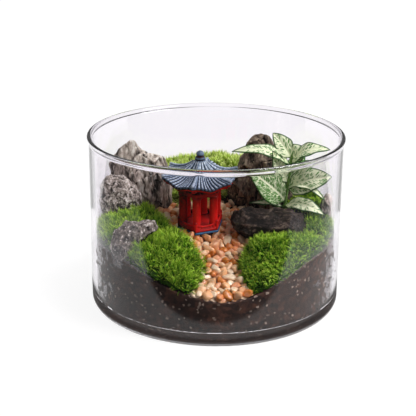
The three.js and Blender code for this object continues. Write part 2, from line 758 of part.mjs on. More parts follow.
const place = pavilionPlace();
const { plinthRadius, padRadius, padDepth, headroom } = PAVILION;
const pad = solid(hexPlate(padRadius, -padDepth, -GAP).applyMatrix4(place));
const pavilionCutters = [
  solid(hexPlate(plinthRadius + GAP, -GAP, headroom).applyMatrix4(place)),
  solid(hexPlate(padRadius + GAP, -padDepth - 1, 0).applyMatrix4(place)),
];
const stemCutter = stalk(STEM, STEM_RADIUS + GAP, 8);

const stones = Object.entries(STONES).map(([name, spec]) => ({
  name, spec, body: stone(spec), grown: stone(spec, GAP) }));
stones.forEach((one, i) => {
  const before = stones.slice(0, i).map((other) => other.grown);
  one.body = largest(without(one.body, before));
});
const stoneCutters = stones.map((one) => one.grown);

const cutSoil = without(soilBlock(0), [pavilionCutters[0], ...stoneCutters, stemCutter]);
const soil = largest(cutSoil.add(pad));
const aboveSoil = soilBlock(GAP);
const gravelBed = largest(without(gravel(aboveSoil), [...stoneCutters, ...pavilionCutters]));

const terrarium = new THREE.Group();
terrarium.add(node('glass_bowl', bowl(), 0xe9eef0, 0.03));
terrarium.add(node('soil', shape(soil), 0x33261f, 0.95));
terrarium.add(node('gravel_path', shape(gravelBed), 0xd9ad84, 0.55));

const plots = [prism(widened(PATH_OUTLINE, GAP))];
Object.entries(MOSS_OUTLINES).forEach(([name, outline], i) => {
  const cutters = [aboveSoil, ...plots, ...stoneCutters, ...pavilionCutters, stemCutter];
  const plot = prism(outline.points);
  const cushion = largest(without(mossCushion(outline, 100 + i).intersect(plot), cutters));
  plots.push(prism(widened(outline.points, GAP)));
  terrarium.add(node(name, shape(cushion), 0x6f9a22, 0.85));
});

for (const { name, spec, body } of stones) {
  terrarium.add(node(name, shape(body), spec.colour, 0.75));
}

const pavilion = new THREE.Group();
pavilion.applyMatrix4(place);
pavilion.add(node('pavilion_plinth', hexPlate(PAVILION.plinthRadius, 0, PAVILION.plinthHeight),
  0x2f5d80, 0.45));
pavilion.add(node('pavilion_body', shape(pavilionBody()), 0xb01818, 0.4));
pavilion.add(node('pavilion_roof', roof(), 0x7b8ea6, 0.5));
pavilion.add(node('pavilion_finial', finial(), 0x4a566b, 0.4));
terrarium.add(pavilion);

terrarium.add(node('nerve_plant', shape(nervePlant()), 0x8fb86a, 0.5));

export default terrarium;
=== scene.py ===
import math

import bmesh
import bpy
import numpy as np
from mathutils import Matrix, Vector, noise
from mathutils.bvhtree import BVHTree


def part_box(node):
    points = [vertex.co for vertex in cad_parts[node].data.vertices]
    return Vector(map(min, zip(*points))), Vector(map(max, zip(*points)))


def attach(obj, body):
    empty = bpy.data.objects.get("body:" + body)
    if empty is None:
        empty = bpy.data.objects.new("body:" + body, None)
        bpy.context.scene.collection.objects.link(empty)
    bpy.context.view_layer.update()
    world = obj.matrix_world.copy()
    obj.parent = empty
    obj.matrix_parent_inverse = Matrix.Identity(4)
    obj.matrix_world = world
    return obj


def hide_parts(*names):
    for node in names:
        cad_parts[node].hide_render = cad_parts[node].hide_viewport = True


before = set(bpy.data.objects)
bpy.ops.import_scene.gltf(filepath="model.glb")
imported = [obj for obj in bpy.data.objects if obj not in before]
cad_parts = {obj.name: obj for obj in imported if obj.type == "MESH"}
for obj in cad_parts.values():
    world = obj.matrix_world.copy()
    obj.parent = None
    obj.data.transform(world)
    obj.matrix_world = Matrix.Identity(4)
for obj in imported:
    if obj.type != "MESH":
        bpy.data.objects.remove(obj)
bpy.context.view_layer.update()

# A planted glass bowl: banked soil, moss, a gravel path, stones, a painted pavilion and a
# white-veined nerve plant. Row frame, metres: origin under the middle of the base, +Z up,
# the viewer's side towards -Y.

bl_info = {
    "name": "Planted Terrarium Bowl",
    "version": (1, 0, 0),
    "blender": (4, 5, 0),
    "location": "View3D > Sidebar > Terrarium",
    "description": "Builds a glass bowl planted with moss, stones, a pavilion and a nerve plant",
    "category": "Add Mesh",
}

MM = 0.001
_, BOWL_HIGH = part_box("glass_bowl")


def linear(srgb):
    """An sRGB hex colour as linear red, green and blue."""
    channels = [((srgb >> shift) & 255) / 255 for shift in (16, 8, 0)]
    return tuple(c / 12.92 if c <= 0.04045 else ((c + 0.055) / 1.055) ** 2.4 for c in channels)


def toned(tone, share):
    """A linear colour made darker, or paler up to full white, by one share of itself."""
    return tuple(min(1, share * channel) for channel in tone)


def length(name, description, default):
    """A size, given in millimetres."""
    return bpy.props.FloatProperty(name=name, description=description, default=default * MM,
                                   min=0.0, precision=5, unit="LENGTH", subtype="DISTANCE")


def along_axis(name, description, default):
    """A place on one axis, given in millimetres; it may lie below zero."""
    return bpy.props.FloatProperty(name=name, description=description, default=default * MM,
                                   precision=5, unit="LENGTH")


def angle(name, description, default):
    """An angle, given in degrees."""
    return bpy.props.FloatProperty(name=name, description=description,
                                   default=math.radians(default), unit="ROTATION", subtype="ANGLE")


def amount(name, description, default):
    """A share or a strength, given as it is."""
    return bpy.props.FloatProperty(name=name, description=description, default=default,
                                   min=0.0, subtype="FACTOR")


def colour(name, description, srgb):
    """A colour, given as sRGB hex."""
    return bpy.props.FloatVectorProperty(name=name, description=description, size=3,
                                         min=0.0, max=1.0, default=linear(srgb), subtype="COLOR")


# ---------------------------------------------------------------- sizes and colours


class BowlSettings(bpy.types.PropertyGroup):
    wall: length("Wall", "Thickness of the glass wall", 3.5)
    floor: length("Base", "Thickness of the glass base", 9)
    bead: length("Rim bead", "How far the rim stands out from the wall", 1.2)
    flare: length("Rim flare", "Height over which the wall widens into the rim", 3.4)
    fillet: length("Rim fillet", "Radius of the rim's outer polished edge", 1.2)
    inner_fillet: length("Inner rim fillet", "Radius of its inner polished edge", 2.4)
    taper: length("Rim taper", "How much thinner the wall is at the rim", 1.1)
    taper_height: length("Taper height", "Height over which it thins towards the rim", 48)
    outer_corner: length("Outer corner", "Radius between wall and base outside", 7)
    inner_corner: length("Inner corner", "Radius between wall and base inside", 6)
    tint: colour("Glass tint", "What is left of white light behind one wall", 0xF9F6FB)


class SoilSettings(bpy.types.PropertyGroup):
    grain: length("Crumb", "Size of a crumb of soil", 2.8)
    relief: length("Relief", "Depth between the crumbs", 0.9)
    wet: colour("Wet soil", "Soil where it is moist", 0x1C0F0A)
    dry: colour("Dry soil", "Soil where it is drier", 0x563628)
    fleck: colour("Fleck", "Pale grit and fibre", 0xB8A292)
    wet_front: along_axis("Wet front", "In front of this Y all soil touches the glass", -62)
    dry_sides: along_axis("Dry sides", "Behind this Y air stays between soil and glass", -12)
    air_from: bpy.props.FloatProperty(
        name="Air from", default=53, description="Round the bottom corner, in degrees from the "
        "wall, where a line of air starts")
    air_to: bpy.props.FloatProperty(
        name="Air to", default=61, description="Round the bottom corner, in degrees from the "
        "wall, where it ends")


class GravelSettings(bpy.types.PropertyGroup):
    pebble: length("Pebble", "Usual length of a pebble", 6.6)
    spacing: length("Spacing", "Distance between pebbles", 4.9)
    cream: colour("Cream", "Palest pebbles", 0xEAD0AC)
    peach: colour("Peach", "Usual pebbles", 0xE8B07C)
    orange: colour("Orange", "Warm brown pebbles", 0xDA8434)
    pink: colour("Pink", "Pinkish pebbles", 0xDE9C78)


class MossSettings(bpy.types.PropertyGroup):
    shoot: length("Shoot", "Length of a moss leaf", 6.4)
    width: length("Leaf width", "Width of a moss leaf", 0.78)
    spacing: length("Tuft spacing", "Distance between tufts", 2.7)
    # The tips are partly painted light, and base is painted shade between the shoots.
    tip: colour("Tip", "Sunlit tips", 0xDCFC5A)
    young: colour("Young tip", "New growth, paler", 0xFCFFB0)
    middle: colour("Middle", "Half-way down", 0x589612)
    young_middle: colour("Young middle", "New growth, half-way down", 0xCCEC60)
    base: colour("Base", "In the shade between the shoots", 0x0A1404)


class StoneSettings(bpy.types.PropertyGroup):
    grey_dark: colour("Grey stone, dark", "In the cracks", 0x1A1512)
    grey: colour("Grey stone", "Broken faces", 0xA89A90)
    grey_pale: colour("Grey stone, pale", "Worn edges and veins", 0xF4ECE4)
    dark_deep: colour("Dark stone, deep", "In the cracks", 0x120D0B)
    dark: colour("Dark stone", "Broken faces", 0x6A5A4E)
    dark_pale: colour("Dark stone, pale", "Chalky patches", 0xB9A88F)


class PavilionSettings(bpy.types.PropertyGroup):
    x: along_axis("X", "Where the pavilion stands", -11)
    y: along_axis("Y", "Where the pavilion stands", -4)
    z: length("Z", "Underside of the plinth", 56)
    lean: angle("Lean", "Towards the viewer, with the slope", 6.7)
    turn: angle("Turn", "Azimuth of one corner", 20.2)
    plinth_radius: length("Plinth radius", "To a corner of the plinth", 17.2)
    floor_radius: length("Floor radius", "To a corner of the floor", 16.7)
    rail_top: length("Rail", "Top of the railing", 8.6)
    column_ring: length("Column ring", "Radius of the ring of columns", 12.6)
    column_radius: length("Column radius", "Radius of a column", 3.0)
    lintel_bottom: length("Lintel", "Underside of the lintel", 27.5)
    lintel_radius: length("Lintel radius", "To a corner of the lintel", 16)
    eave_radius: length("Eave radius", "To a corner of the eaves", 28.3)
    corner_height: length("Corner height", "Eave at a corner", 41.5)
    eave_sag: length("Eave sag", "Middle of an eave below its corners", 3.3)
    neck_radius: length("Neck radius", "Top of the tiles", 3.6)
    neck_height: length("Neck height", "Top of the tiles", 51.6)
    red: colour("Red paint", "Columns, railing and lintel", 0xD01410)
    # The red shade and blue shade colours are painted shade in corners and between the tiles; the
    # rubbed paint is painted highlight on the tile tops.
    red_painted_shade: colour("Red shade", "Dark wash in the corners", 0x1C0303)
    blue: colour("Blue-grey paint", "Tiles", 0x7C90AE)
    blue_pale: colour("Rubbed paint", "Dry-brushed tops of the tiles", 0xDCE4EE)
    blue_deep: colour("Blue shade", "Dark wash between the tiles", 0x0E1116)
    plinth: colour("Plinth paint", "Blue plinth", 0x2F5F88)


class PlantSettings(bpy.types.PropertyGroup):
    thickness: length("Leaf thickness", "Thickness of a leaf", 0.4)
    stem: length("Stem radius", "Radius of the stem", 1.3)
    cell: length("Net", "Width of one green cell of the vein net", 1.5)
    cell_length: length("Net length", "Length of one green cell", 2.9)
    margin: length("Margin", "Width of the dark green line round a leaf", 1.2)
    green: colour("Green", "Cells between the veins", 0x448A20)
    pale: colour("Veins", "Pale net of veins", 0xFAFFDA)
    edge: colour("Edge", "Dark line round the leaf", 0x2E5A20)
    stalk: colour("Stalk", "Stem and leaf stalks", 0x7FAA55)


class StageSettings(bpy.types.PropertyGroup):
    floor: length("Floor", "Width of the floor", 9000)
    mirrored_front: length("Mirrored front", "How far in front of the bowl's centre the glass "
                           "still mirrors the white floor", 130)
    mirrored_side: length("Mirrored side", "How far to either side it does", 240)
    # The shade radii bound a painted shadow of the bowl in the mirrored floor's glow.
    shade_inner: length("Shade from", "The bowl shades the mirrored floor from this radius", 89)
    shade_outer: length("Shade to", "The bowl shades the mirrored floor to this radius", 107)
    mirrored_glow: amount("Mirrored glow", "Brightness of the floor that the glass mirrors", 0.88)
    mirrored_back: length("Mirrored back", "From how far behind the centre the floor is mirrored "
                          "over its whole width", 105)
    acrylic: colour("Floor colour", "Opal acrylic floor", 0x6E6D6D)
    glow: amount("Floor glow", "How brightly the floor is lit from below", 0.9)
    key: bpy.props.FloatProperty(name="Main light", default=2.7,
                                 description="Irradiance of the main soft light, W per square m")
    key_width: angle("Main light width", "How wide the main light is, seen from the bowl", 30)
    sky: amount("Surroundings", "Brightness of the white surroundings", 0.3)
    room: amount("Room", "Brightness of the dim room in front of the floor", 0.02)


# ---------------------------------------------------------------- meshes


class Shape:
    """Points in millimetres, faces and point values of one piece, gathered part by part."""

    def __init__(self):
        self.points, self.faces, self.values, self.count = [], [], {}, 0

    def add(self, points, faces, **values):
        points = np.asarray(points, float).reshape(-1, 3)
        self.faces += [np.asarray(group, int) + self.count for group in faces if len(group)]
        for name, value in values.items():
            value = np.asarray(value, float)
            width = () if value.ndim < 2 else value.shape[1:]
            self.values.setdefault(name, []).append(
                np.broadcast_to(value, (len(points), *width)))
        self.points.append(points)
        self.count += len(points)
        return self

    def piece(self, name, material, smooth=True, recalculate=False):
        points = np.concatenate(self.points) * MM
        mesh = bpy.data.meshes.new(name)
        mesh.vertices.add(len(points))
        mesh.vertices.foreach_set("co", points.astype(np.float32).ravel())
        mesh.loops.add(sum(group.size for group in self.faces))
        mesh.loops.foreach_set("vertex_index", np.concatenate([g.ravel() for g in self.faces]))
        sizes = np.concatenate([np.full(len(g), g.shape[1]) for g in self.faces])
        mesh.polygons.add(len(sizes))
        mesh.polygons.foreach_set("loop_start", np.concatenate([[0], np.cumsum(sizes)[:-1]]))
        mesh.polygons.foreach_set("use_smooth", np.full(len(sizes), smooth))
        mesh.update(calc_edges=True)
        for key, parts in self.values.items():
            value = np.concatenate(parts)
            kind, field = ("FLOAT", "value") if value.ndim == 1 else ("FLOAT_VECTOR", "vector")
            mesh.attributes.new(key, kind, "POINT").data.foreach_set(
                field, value.astype(np.float32).ravel())
        if recalculate:
            outward(mesh)
        return placed(name, mesh, material)


def outward(mesh):
    """Turns every face of each closed shell outwards."""
    work = bmesh.new()
    work.from_mesh(mesh)
    bmesh.ops.recalc_face_normals(work, faces=work.faces)
    work.to_mesh(mesh)
    work.free()


def placed(name, mesh, material):
    """Puts a mesh of one material in the scene."""
    obj = bpy.data.objects.new(name, mesh)
    bpy.context.scene.collection.objects.link(obj)
    mesh.materials.clear()
    mesh.materials.append(material)
    return obj


def stands_for(obj, slot, *nodes):
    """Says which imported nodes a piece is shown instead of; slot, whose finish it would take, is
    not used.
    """
    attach(obj, "root")
    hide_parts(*nodes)


def skin(rings):
    """Points and faces through a stack of rings with equal counts, closed by two fans."""
    rings = np.asarray(rings, float)
    levels, count = rings.shape[:2]
    base = (np.arange(levels - 1)[:, None] * count + np.arange(count)[None]).ravel()
    turned = (np.arange(levels - 1)[:, None] * count
              + (np.arange(count)[None] + 1) % count).ravel()
    quads = np.stack([base, turned, turned + count, base + count], 1)
    around = np.arange(count)
    after = (around + 1) % count
    last = (levels - 1) * count
    low, high = levels * count, levels * count + 1
    fans = np.concatenate([
        np.stack([np.full(count, low), after, around], 1),
        np.stack([np.full(count, high), last + around, last + after], 1)])
    points = np.concatenate([rings.reshape(-1, 3), rings[:1].mean(1), rings[-1:].mean(1)])
    return points, [quads, fans]


def lathe(profile, segments):
    """A turned form from [radius, height] points, on the Z axis."""
    turn = np.linspace(0, 2 * math.pi, segments, endpoint=False)
    rings = [np.stack([r * np.cos(turn), r * np.sin(turn), np.full(segments, z)], 1)
             for r, z in profile]
    return skin(rings)


def arc(cx, cy, radius, start, end, steps):
    """Points round an arc, from one angle in degrees to another."""
    turn = np.radians(np.linspace(start, end, steps + 1))
    return [(cx + radius * math.cos(a), cy + radius * math.sin(a)) for a in turn]


def tube(path, radii, sides):
    """A round tube along a path; radii gives its radius at each point."""
    path = np.asarray(path, float)
    along = np.gradient(path, axis=0)
    along /= np.linalg.norm(along, axis=1, keepdims=True)
    guide = np.array([0.0, 0.0, 1.0]) if abs(along[0][2]) < 0.8 else np.array([1.0, 0.0, 0.0])
    rings = []
    for point, direction, radius in zip(path, along, np.broadcast_to(radii, len(path))):
        side = np.cross(direction, guide)
        side /= np.linalg.norm(side)
        up = np.cross(side, direction)
        guide = up
        turn = np.linspace(0, 2 * math.pi, sides, endpoint=False)[:, None]
        rings.append(point + radius * (np.cos(turn) * up + np.sin(turn) * side))
    return skin(rings)


def moved(points, matrix):
    """Points taken through a 4 by 4 matrix."""
    matrix = np.array(matrix)
    return points @ matrix[:3, :3].T + matrix[:3, 3]


def gathered(elements, field, width, kind=np.float32):
    """One field of all a mesh's points, edges or faces, a row for each."""
    values = np.empty(len(elements) * width, kind)
    elements.foreach_get(field, values)
    return values.reshape(-1, width)


def corners_of(node_name):
    """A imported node's points in millimetres and its triangles."""
    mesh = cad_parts[node_name].data
    mesh.calc_loop_triangles()
    points = gathered(mesh.vertices, "co", 3).astype(float) / MM
    return points, gathered(mesh.loop_triangles, "vertices", 3, np.int32)


def tree_of(node_name):
    """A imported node's surface, ready to be hit by rays."""
    points, triangles = corners_of(node_name)
    return BVHTree.FromPolygons(points.tolist(), triangles.tolist())


def remeshed(name, node_name, cell):
    """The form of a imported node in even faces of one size, as points, normals and a mesh."""
    work = bpy.data.objects.new(name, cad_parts[node_name].data.copy())
    bpy.context.scene.collection.objects.link(work)
    remesh = work.modifiers.new("Even faces", "REMESH")
    remesh.mode = "VOXEL"
    remesh.voxel_size = cell * MM
    bpy.context.view_layer.update()
    evaluated = work.evaluated_get(bpy.context.evaluated_depsgraph_get())
    mesh = bpy.data.meshes.new_from_object(evaluated)
    mesh.name = name
    bpy.data.objects.remove(work)
    mesh.polygons.foreach_set("use_smooth", np.full(len(mesh.polygons), True))
    points = gathered(mesh.vertices, "co", 3).astype(float) / MM
    normals = gathered(mesh.vertex_normals, "vector", 3).astype(float)
    return points, normals, mesh


def reshaped(mesh, points, **values):
    """Moves a mesh's points, given in millimetres, and gives each point its values."""
    mesh.vertices.foreach_set("co", (points * MM).astype(np.float32).ravel())
    for key, value in values.items():
        mesh.attributes.new(key, "FLOAT", "POINT").data.foreach_set(
            "value", np.asarray(value, np.float32))
    mesh.update()
    return mesh


def waves(points, wavelength, seed, octaves=2):
    """Smooth noise from -1 to 1 at each point, with features of about one wavelength."""
    shift = np.array([17.3, 5.9, 31.7]) * (seed + 1)
    return np.array([noise.fractal(p, 1.0, 2.0, octaves, noise_basis="PERLIN_ORIGINAL")
                     for p in (points + shift) / wavelength])


def crumbs(points, cell, seed):
    """Distance to the nearest crumb centre, 0 at the centre and about 1 between crumbs."""
    shift = np.array([7.1, 3.3, 11.9]) * (seed + 1)
    return np.array([noise.voronoi(p)[0][0] for p in (points + shift) / cell])


# How far damp soil and what grows on it go into the glass, in millimetres, so no air shows.
PRESSED_IN = 0.05


def into_glass():
    """The bowl's inner radius, base and corner radius, in millimetres."""
    bowl = bpy.context.scene.terrarium_bowl
    inner = (BOWL_HIGH.x - bowl.bead - bowl.wall) / MM
    return inner, bowl.floor / MM, bowl.inner_corner / MM


def inside_glass(points, margin=0.4, pressed=False, drawn_to=0.0):
    """Bends what would cross the glass wall back to it, and draws what is near up to it."""
    if pressed:
        wet = points[:, 1] * MM < bpy.context.scene.terrarium_soil.wet_front
        margin = np.where(wet, -PRESSED_IN, margin)
    limit = into_glass()[0] - margin
    far = np.hypot(points[:, 0], points[:, 1])
    share = np.where(far > limit - drawn_to, limit / np.maximum(far, 1e-6), 1)
    points[:, :2] *= share[:, None]
    return points


# ---------------------------------------------------------------- materials


def node(tree, kind, inputs=None, stops=None, **settings):
    """Adds a node. inputs maps a socket to a value or to another node's output."""
    made = tree.nodes.new(kind)
    for key, value in settings.items():
        setattr(made, key, value)
    for key, value in (inputs or {}).items():
        if isinstance(value, bpy.types.NodeSocket):
            tree.links.new(value, made.inputs[key])
        else:
            made.inputs[key].default_value = value
    if stops:
        ramp = made.color_ramp.elements
        while len(ramp) < len(stops):
            ramp.new(0.5)
        for element, (place, tone) in zip(ramp, stops):
            element.position = place
            element.color = (*tone, 1)
    return made


def new_material(name, **sockets):
    """A material with one Principled shader whose even values are set on its own sockets."""
    material = bpy.data.materials.new(name)
    material.use_nodes = True
    tree = material.node_tree
    shader = tree.nodes["Principled BSDF"]
    for key, value in sockets.items():
        shader.inputs[key.replace("_", " ")].default_value = value
    return material, tree, shader


def dressed(made, tone, height=None, depth=0, strength=0, **settings):
    """Gives a new material its colour and, where it has one, a relief of so many millimetres."""
    material, tree, shader = made
    tree.links.new(tone, shader.inputs["Base Color"])
    if height:
        bump = node(tree, "ShaderNodeBump", {
            "Height": height, "Distance": depth * MM, "Strength": strength}, **settings)
        tree.links.new(bump.outputs["Normal"], shader.inputs["Normal"])
    return material


def solid(tone):
    """A colour with full alpha, as colour sockets take it."""
    return (*tone, 1)


def soda_lime_glass(settings):
    """Blown soda-lime glass, fire-polished at the rim: clear, with a faint grey cast."""
    material, _, _ = new_material(
        "soda_lime_glass_fire_polished", Base_Color=solid(settings.tint), Roughness=0.0,
        IOR=1.51, Transmission_Weight=1.0)
    return material


def potting_soil(settings):
    """Peat and composted bark, pressed against the glass: dark crumbs with pale grit."""
    made = new_material("peat_potting_soil_pressed", Roughness=0.82)
    tree = made[1]
    place = node(tree, "ShaderNodeTexCoord").outputs["Object"]
    crumb = node(tree, "ShaderNodeTexVoronoi", {"Vector": place, "Scale": 1 / settings.grain})
    tone = node(tree, "ShaderNodeSeparateColor", {"Color": crumb.outputs["Color"]})
    cloud = node(tree, "ShaderNodeTexNoise", {
        "Vector": place, "Scale": 1 / (9 * MM), "Detail": 5.0, "Roughness": 0.7})
    mixed = node(tree, "ShaderNodeMath", {0: tone.outputs[0], 1: 0.35, 2: cloud.outputs["Fac"]},
                 operation="MULTIPLY_ADD")
    body = node(tree, "ShaderNodeValToRGB", {"Fac": mixed.outputs[0]}, stops=[
        (0.4, settings.wet), (0.7, toned(settings.dry, 0.4)), (0.95, settings.dry)])
    # Grit and bark fibre of about 0.7 mm, drawn in cells of 1.5 mm because one pixel of the
    # view covers about 0.7 mm.
    grit = node(tree, "ShaderNodeTexVoronoi", {"Vector": place, "Scale": 1 / (1.5 * MM)})
    rare = node(tree, "ShaderNodeSeparateColor", {"Color": grit.outputs["Color"]})
    chosen = node(tree, "ShaderNodeMapRange", {
        "Value": rare.outputs[1], "From Min": 0.95, "From Max": 1.0, "To Max": 0.8})
    flecked = node(tree, "ShaderNodeMix", {
        "Factor": chosen.outputs[0], "A": body.outputs["Color"], "B": solid(settings.fleck)},
        data_type="RGBA")
    fine = node(tree, "ShaderNodeTexNoise", {
        "Vector": place, "Scale": 1 / (0.9 * MM), "Detail": 4.0})
    return dressed(made, flecked.outputs["Result"], fine.outputs["Fac"], 0.4, 0.8)


def river_gravel(settings):
    """Tumbled quartz gravel, wet: rounded, glossy, each stone its own warm colour."""
    made = new_material(
        "tumbled_quartz_gravel_wet", Roughness=0.32, IOR=1.54, Coat_Weight=0.25,
        Coat_Roughness=0.12)
    tree = made[1]
    tone = node(tree, "ShaderNodeAttribute", attribute_name="pebble_tone").outputs["Fac"]
    place = node(tree, "ShaderNodeTexCoord").outputs["Object"]
    mottle = node(tree, "ShaderNodeTexNoise", {
        "Vector": place, "Scale": 1 / (2.2 * MM), "Detail": 3.0, "Roughness": 0.65})
    spread = node(tree, "ShaderNodeMapRange", {
        "Value": mottle.outputs["Fac"], "From Min": 0.3, "From Max": 0.7,
        "To Min": -0.13, "To Max": 0.13})
    varied = node(tree, "ShaderNodeMath", {0: tone, 1: spread.outputs[0]}, operation="ADD")
    body = node(tree, "ShaderNodeValToRGB", {"Fac": varied.outputs[0]}, stops=[
        (0.0, settings.cream), (0.26, settings.cream), (0.44, settings.peach),
        (0.62, settings.peach), (0.76, settings.pink), (0.92, settings.orange),
        (1.0, toned(settings.orange, 0.7))])
    return dressed(made, body.outputs["Color"], mottle.outputs["Fac"], 0.25, 0.5)


def living_moss(name, settings, tip, middle):
    """Living cushion moss: satin needle leaves, paler at the tips partly as painted light, and dark
    at the base as painted shade.
    """
    made = new_material(name, Roughness=0.6, Specular_IOR_Level=0.15)
    tree = made[1]
    height = node(tree, "ShaderNodeAttribute", attribute_name="shoot_height").outputs["Fac"]
    tone = node(tree, "ShaderNodeAttribute", attribute_name="shoot_tone").outputs["Fac"]
    cool = toned(middle, 0.35)
    # Painted shade darkens each leaf towards its foot; the pale tips are partly the moss's colour
    # and partly painted light.
    bright = node(tree, "ShaderNodeValToRGB", {"Fac": height}, stops=[
        (0.1, settings.base), (0.34, cool), (0.6, middle), (0.95, tip)])
    dull = node(tree, "ShaderNodeValToRGB", {"Fac": height}, stops=[
        (0.0, toned(settings.base, 0.6)), (0.35, toned(cool, 0.5)),
        (0.75, toned(middle, 0.7)), (1.0, toned(tip, 0.5))])
    mixed = node(tree, "ShaderNodeMix", {
        "Factor": tone, "A": bright.outputs["Color"], "B": dull.outputs["Color"]},
        data_type="RGBA")
    return dressed(made, mixed.outputs["Result"])


def field_stone(name, deep, body, pale, grain, streak, chalk):
    """Split landscape stone, unpolished: dark cracks, worn pale edges, coarse mottling and painted
    shade near other surfaces.
    """
    made = new_material(name, Roughness=0.78, Specular_IOR_Level=0.25)
    tree = made[1]
    place = node(tree, "ShaderNodeTexCoord").outputs["Object"]
    # Bedding and rain streaks run up the stone, so the pattern is stretched along Z.
    drawn = node(tree, "ShaderNodeMapping", {"Vector": place, "Scale": (1, 1, streak)})
    worn_share, open_share, darker = 0.07, 0.22, 0.2
    # The wear attribute is paler on worn ridges, and darker in hollows and fissures as painted
    # shade.
    shade = node(tree, "ShaderNodeAttribute", attribute_name="worn").outputs["Fac"]
    shade = node(tree, "ShaderNodeMath", {0: shade, 1: worn_share}, operation="MULTIPLY")
    # Broad clouds, then patches, then grain of 1.5 mm: the share each has in the stone's shade.
    for share, size in ((0.55, grain), (0.5, 0.38 * grain), (0.3, 1.5)):
        cloud = node(tree, "ShaderNodeTexNoise", {
            "Vector": drawn.outputs[0], "Scale": 1 / (size * MM), "Detail": 4.0,
            "Roughness": 0.65, "Distortion": 0.4})
        shade = node(tree, "ShaderNodeMath", {0: cloud.outputs["Fac"], 1: share,
                                              2: shade.outputs[0]}, operation="MULTIPLY_ADD")
    # Painted shade: an ambient occlusion node darkens what lies within about 6 mm of another
    # surface.
    hollow = node(tree, "ShaderNodeAmbientOcclusion", {"Distance": 6 * MM}, samples=6)
    shade = node(tree, "ShaderNodeMath", {0: hollow.outputs["AO"], 1: open_share,
                                          2: shade.outputs[0]}, operation="MULTIPLY_ADD")
    shade = node(tree, "ShaderNodeMath", {0: shade.outputs[0], 1: darker}, operation="SUBTRACT")
    base = node(tree, "ShaderNodeValToRGB", {"Fac": shade.outputs[0]}, stops=[
        (0.56, deep), (0.635, toned(body, 0.35)), (0.69, body), (0.75, toned(body, 1.5)),
        (0.82, pale)])
    # Chalky specks of about 0.8 mm, drawn at 1.6 mm because one pixel covers about 0.7 mm.
    speck = node(tree, "ShaderNodeTexNoise", {
        "Vector": drawn.outputs[0], "Scale": 1 / (1.6 * MM), "Detail": 3.0})
    chalky = node(tree, "ShaderNodeMapRange", {
        "Value": speck.outputs["Fac"], "From Min": 0.64 - chalk, "From Max": 0.72 - chalk,
        "To Max": 0.85})
    flecked = node(tree, "ShaderNodeMix", {
        "Factor": chalky.outputs[0], "A": base.outputs["Color"], "B": solid(pale)},
        data_type="RGBA")
    # The last cloud, the grain, also roughens the faces.
    return dressed(made, flecked.outputs["Result"], cloud.outputs["Fac"], 0.9, 0.8)


def paint_with_shade(name, deep, body, pale, attribute=None):
    """Hand-painted cast resin: satin colour, darkened in every corner by painted shade."""
    made = new_material(name, Roughness=0.5, Specular_IOR_Level=0.3)
    tree = made[1]
    place = node(tree, "ShaderNodeTexCoord").outputs["Object"]
    brush = node(tree, "ShaderNodeTexNoise", {
        "Vector": place, "Scale": 1 / (1.6 * MM), "Detail": 4.0, "Roughness": 0.6})
    # Painted shade: an ambient occlusion node darkens the paint within about 6 mm of another
    # surface.
    hollow = node(tree, "ShaderNodeAmbientOcclusion", {"Distance": 6 * MM}, samples=8)
    open_air = node(tree, "ShaderNodeMapRange", {
        "Value": hollow.outputs["AO"], "From Min": 0.3, "From Max": 0.95})
    if attribute:
        light_and_tone = node(tree, "ShaderNodeAttribute", attribute_name=attribute).outputs["Fac"]
        open_air = node(tree, "ShaderNodeMath", {0: open_air.outputs[0], 1: light_and_tone},
                        operation="MULTIPLY")
    uneven = node(tree, "ShaderNodeMapRange", {
        "Value": brush.outputs["Fac"], "From Min": 0.3, "From Max": 0.7,
        "To Min": -0.16, "To Max": 0.16})
    level = node(tree, "ShaderNodeMath", {0: open_air.outputs[0], 1: uneven.outputs[0]},
                 operation="ADD")
    tone = node(tree, "ShaderNodeValToRGB", {"Fac": level.outputs[0]}, stops=[
        (0.12, deep), (0.34, toned(body, 0.4)), (0.66, body), (1.0, pale)])
    return dressed(made, tone.outputs["Color"], brush.outputs["Fac"], 0.12, 0.5)


# How much farther along the blade a side vein lies for each millimetre away from the midrib:
# side veins leave the midrib at about 40 degrees.
VEIN_SLANT = 1.1


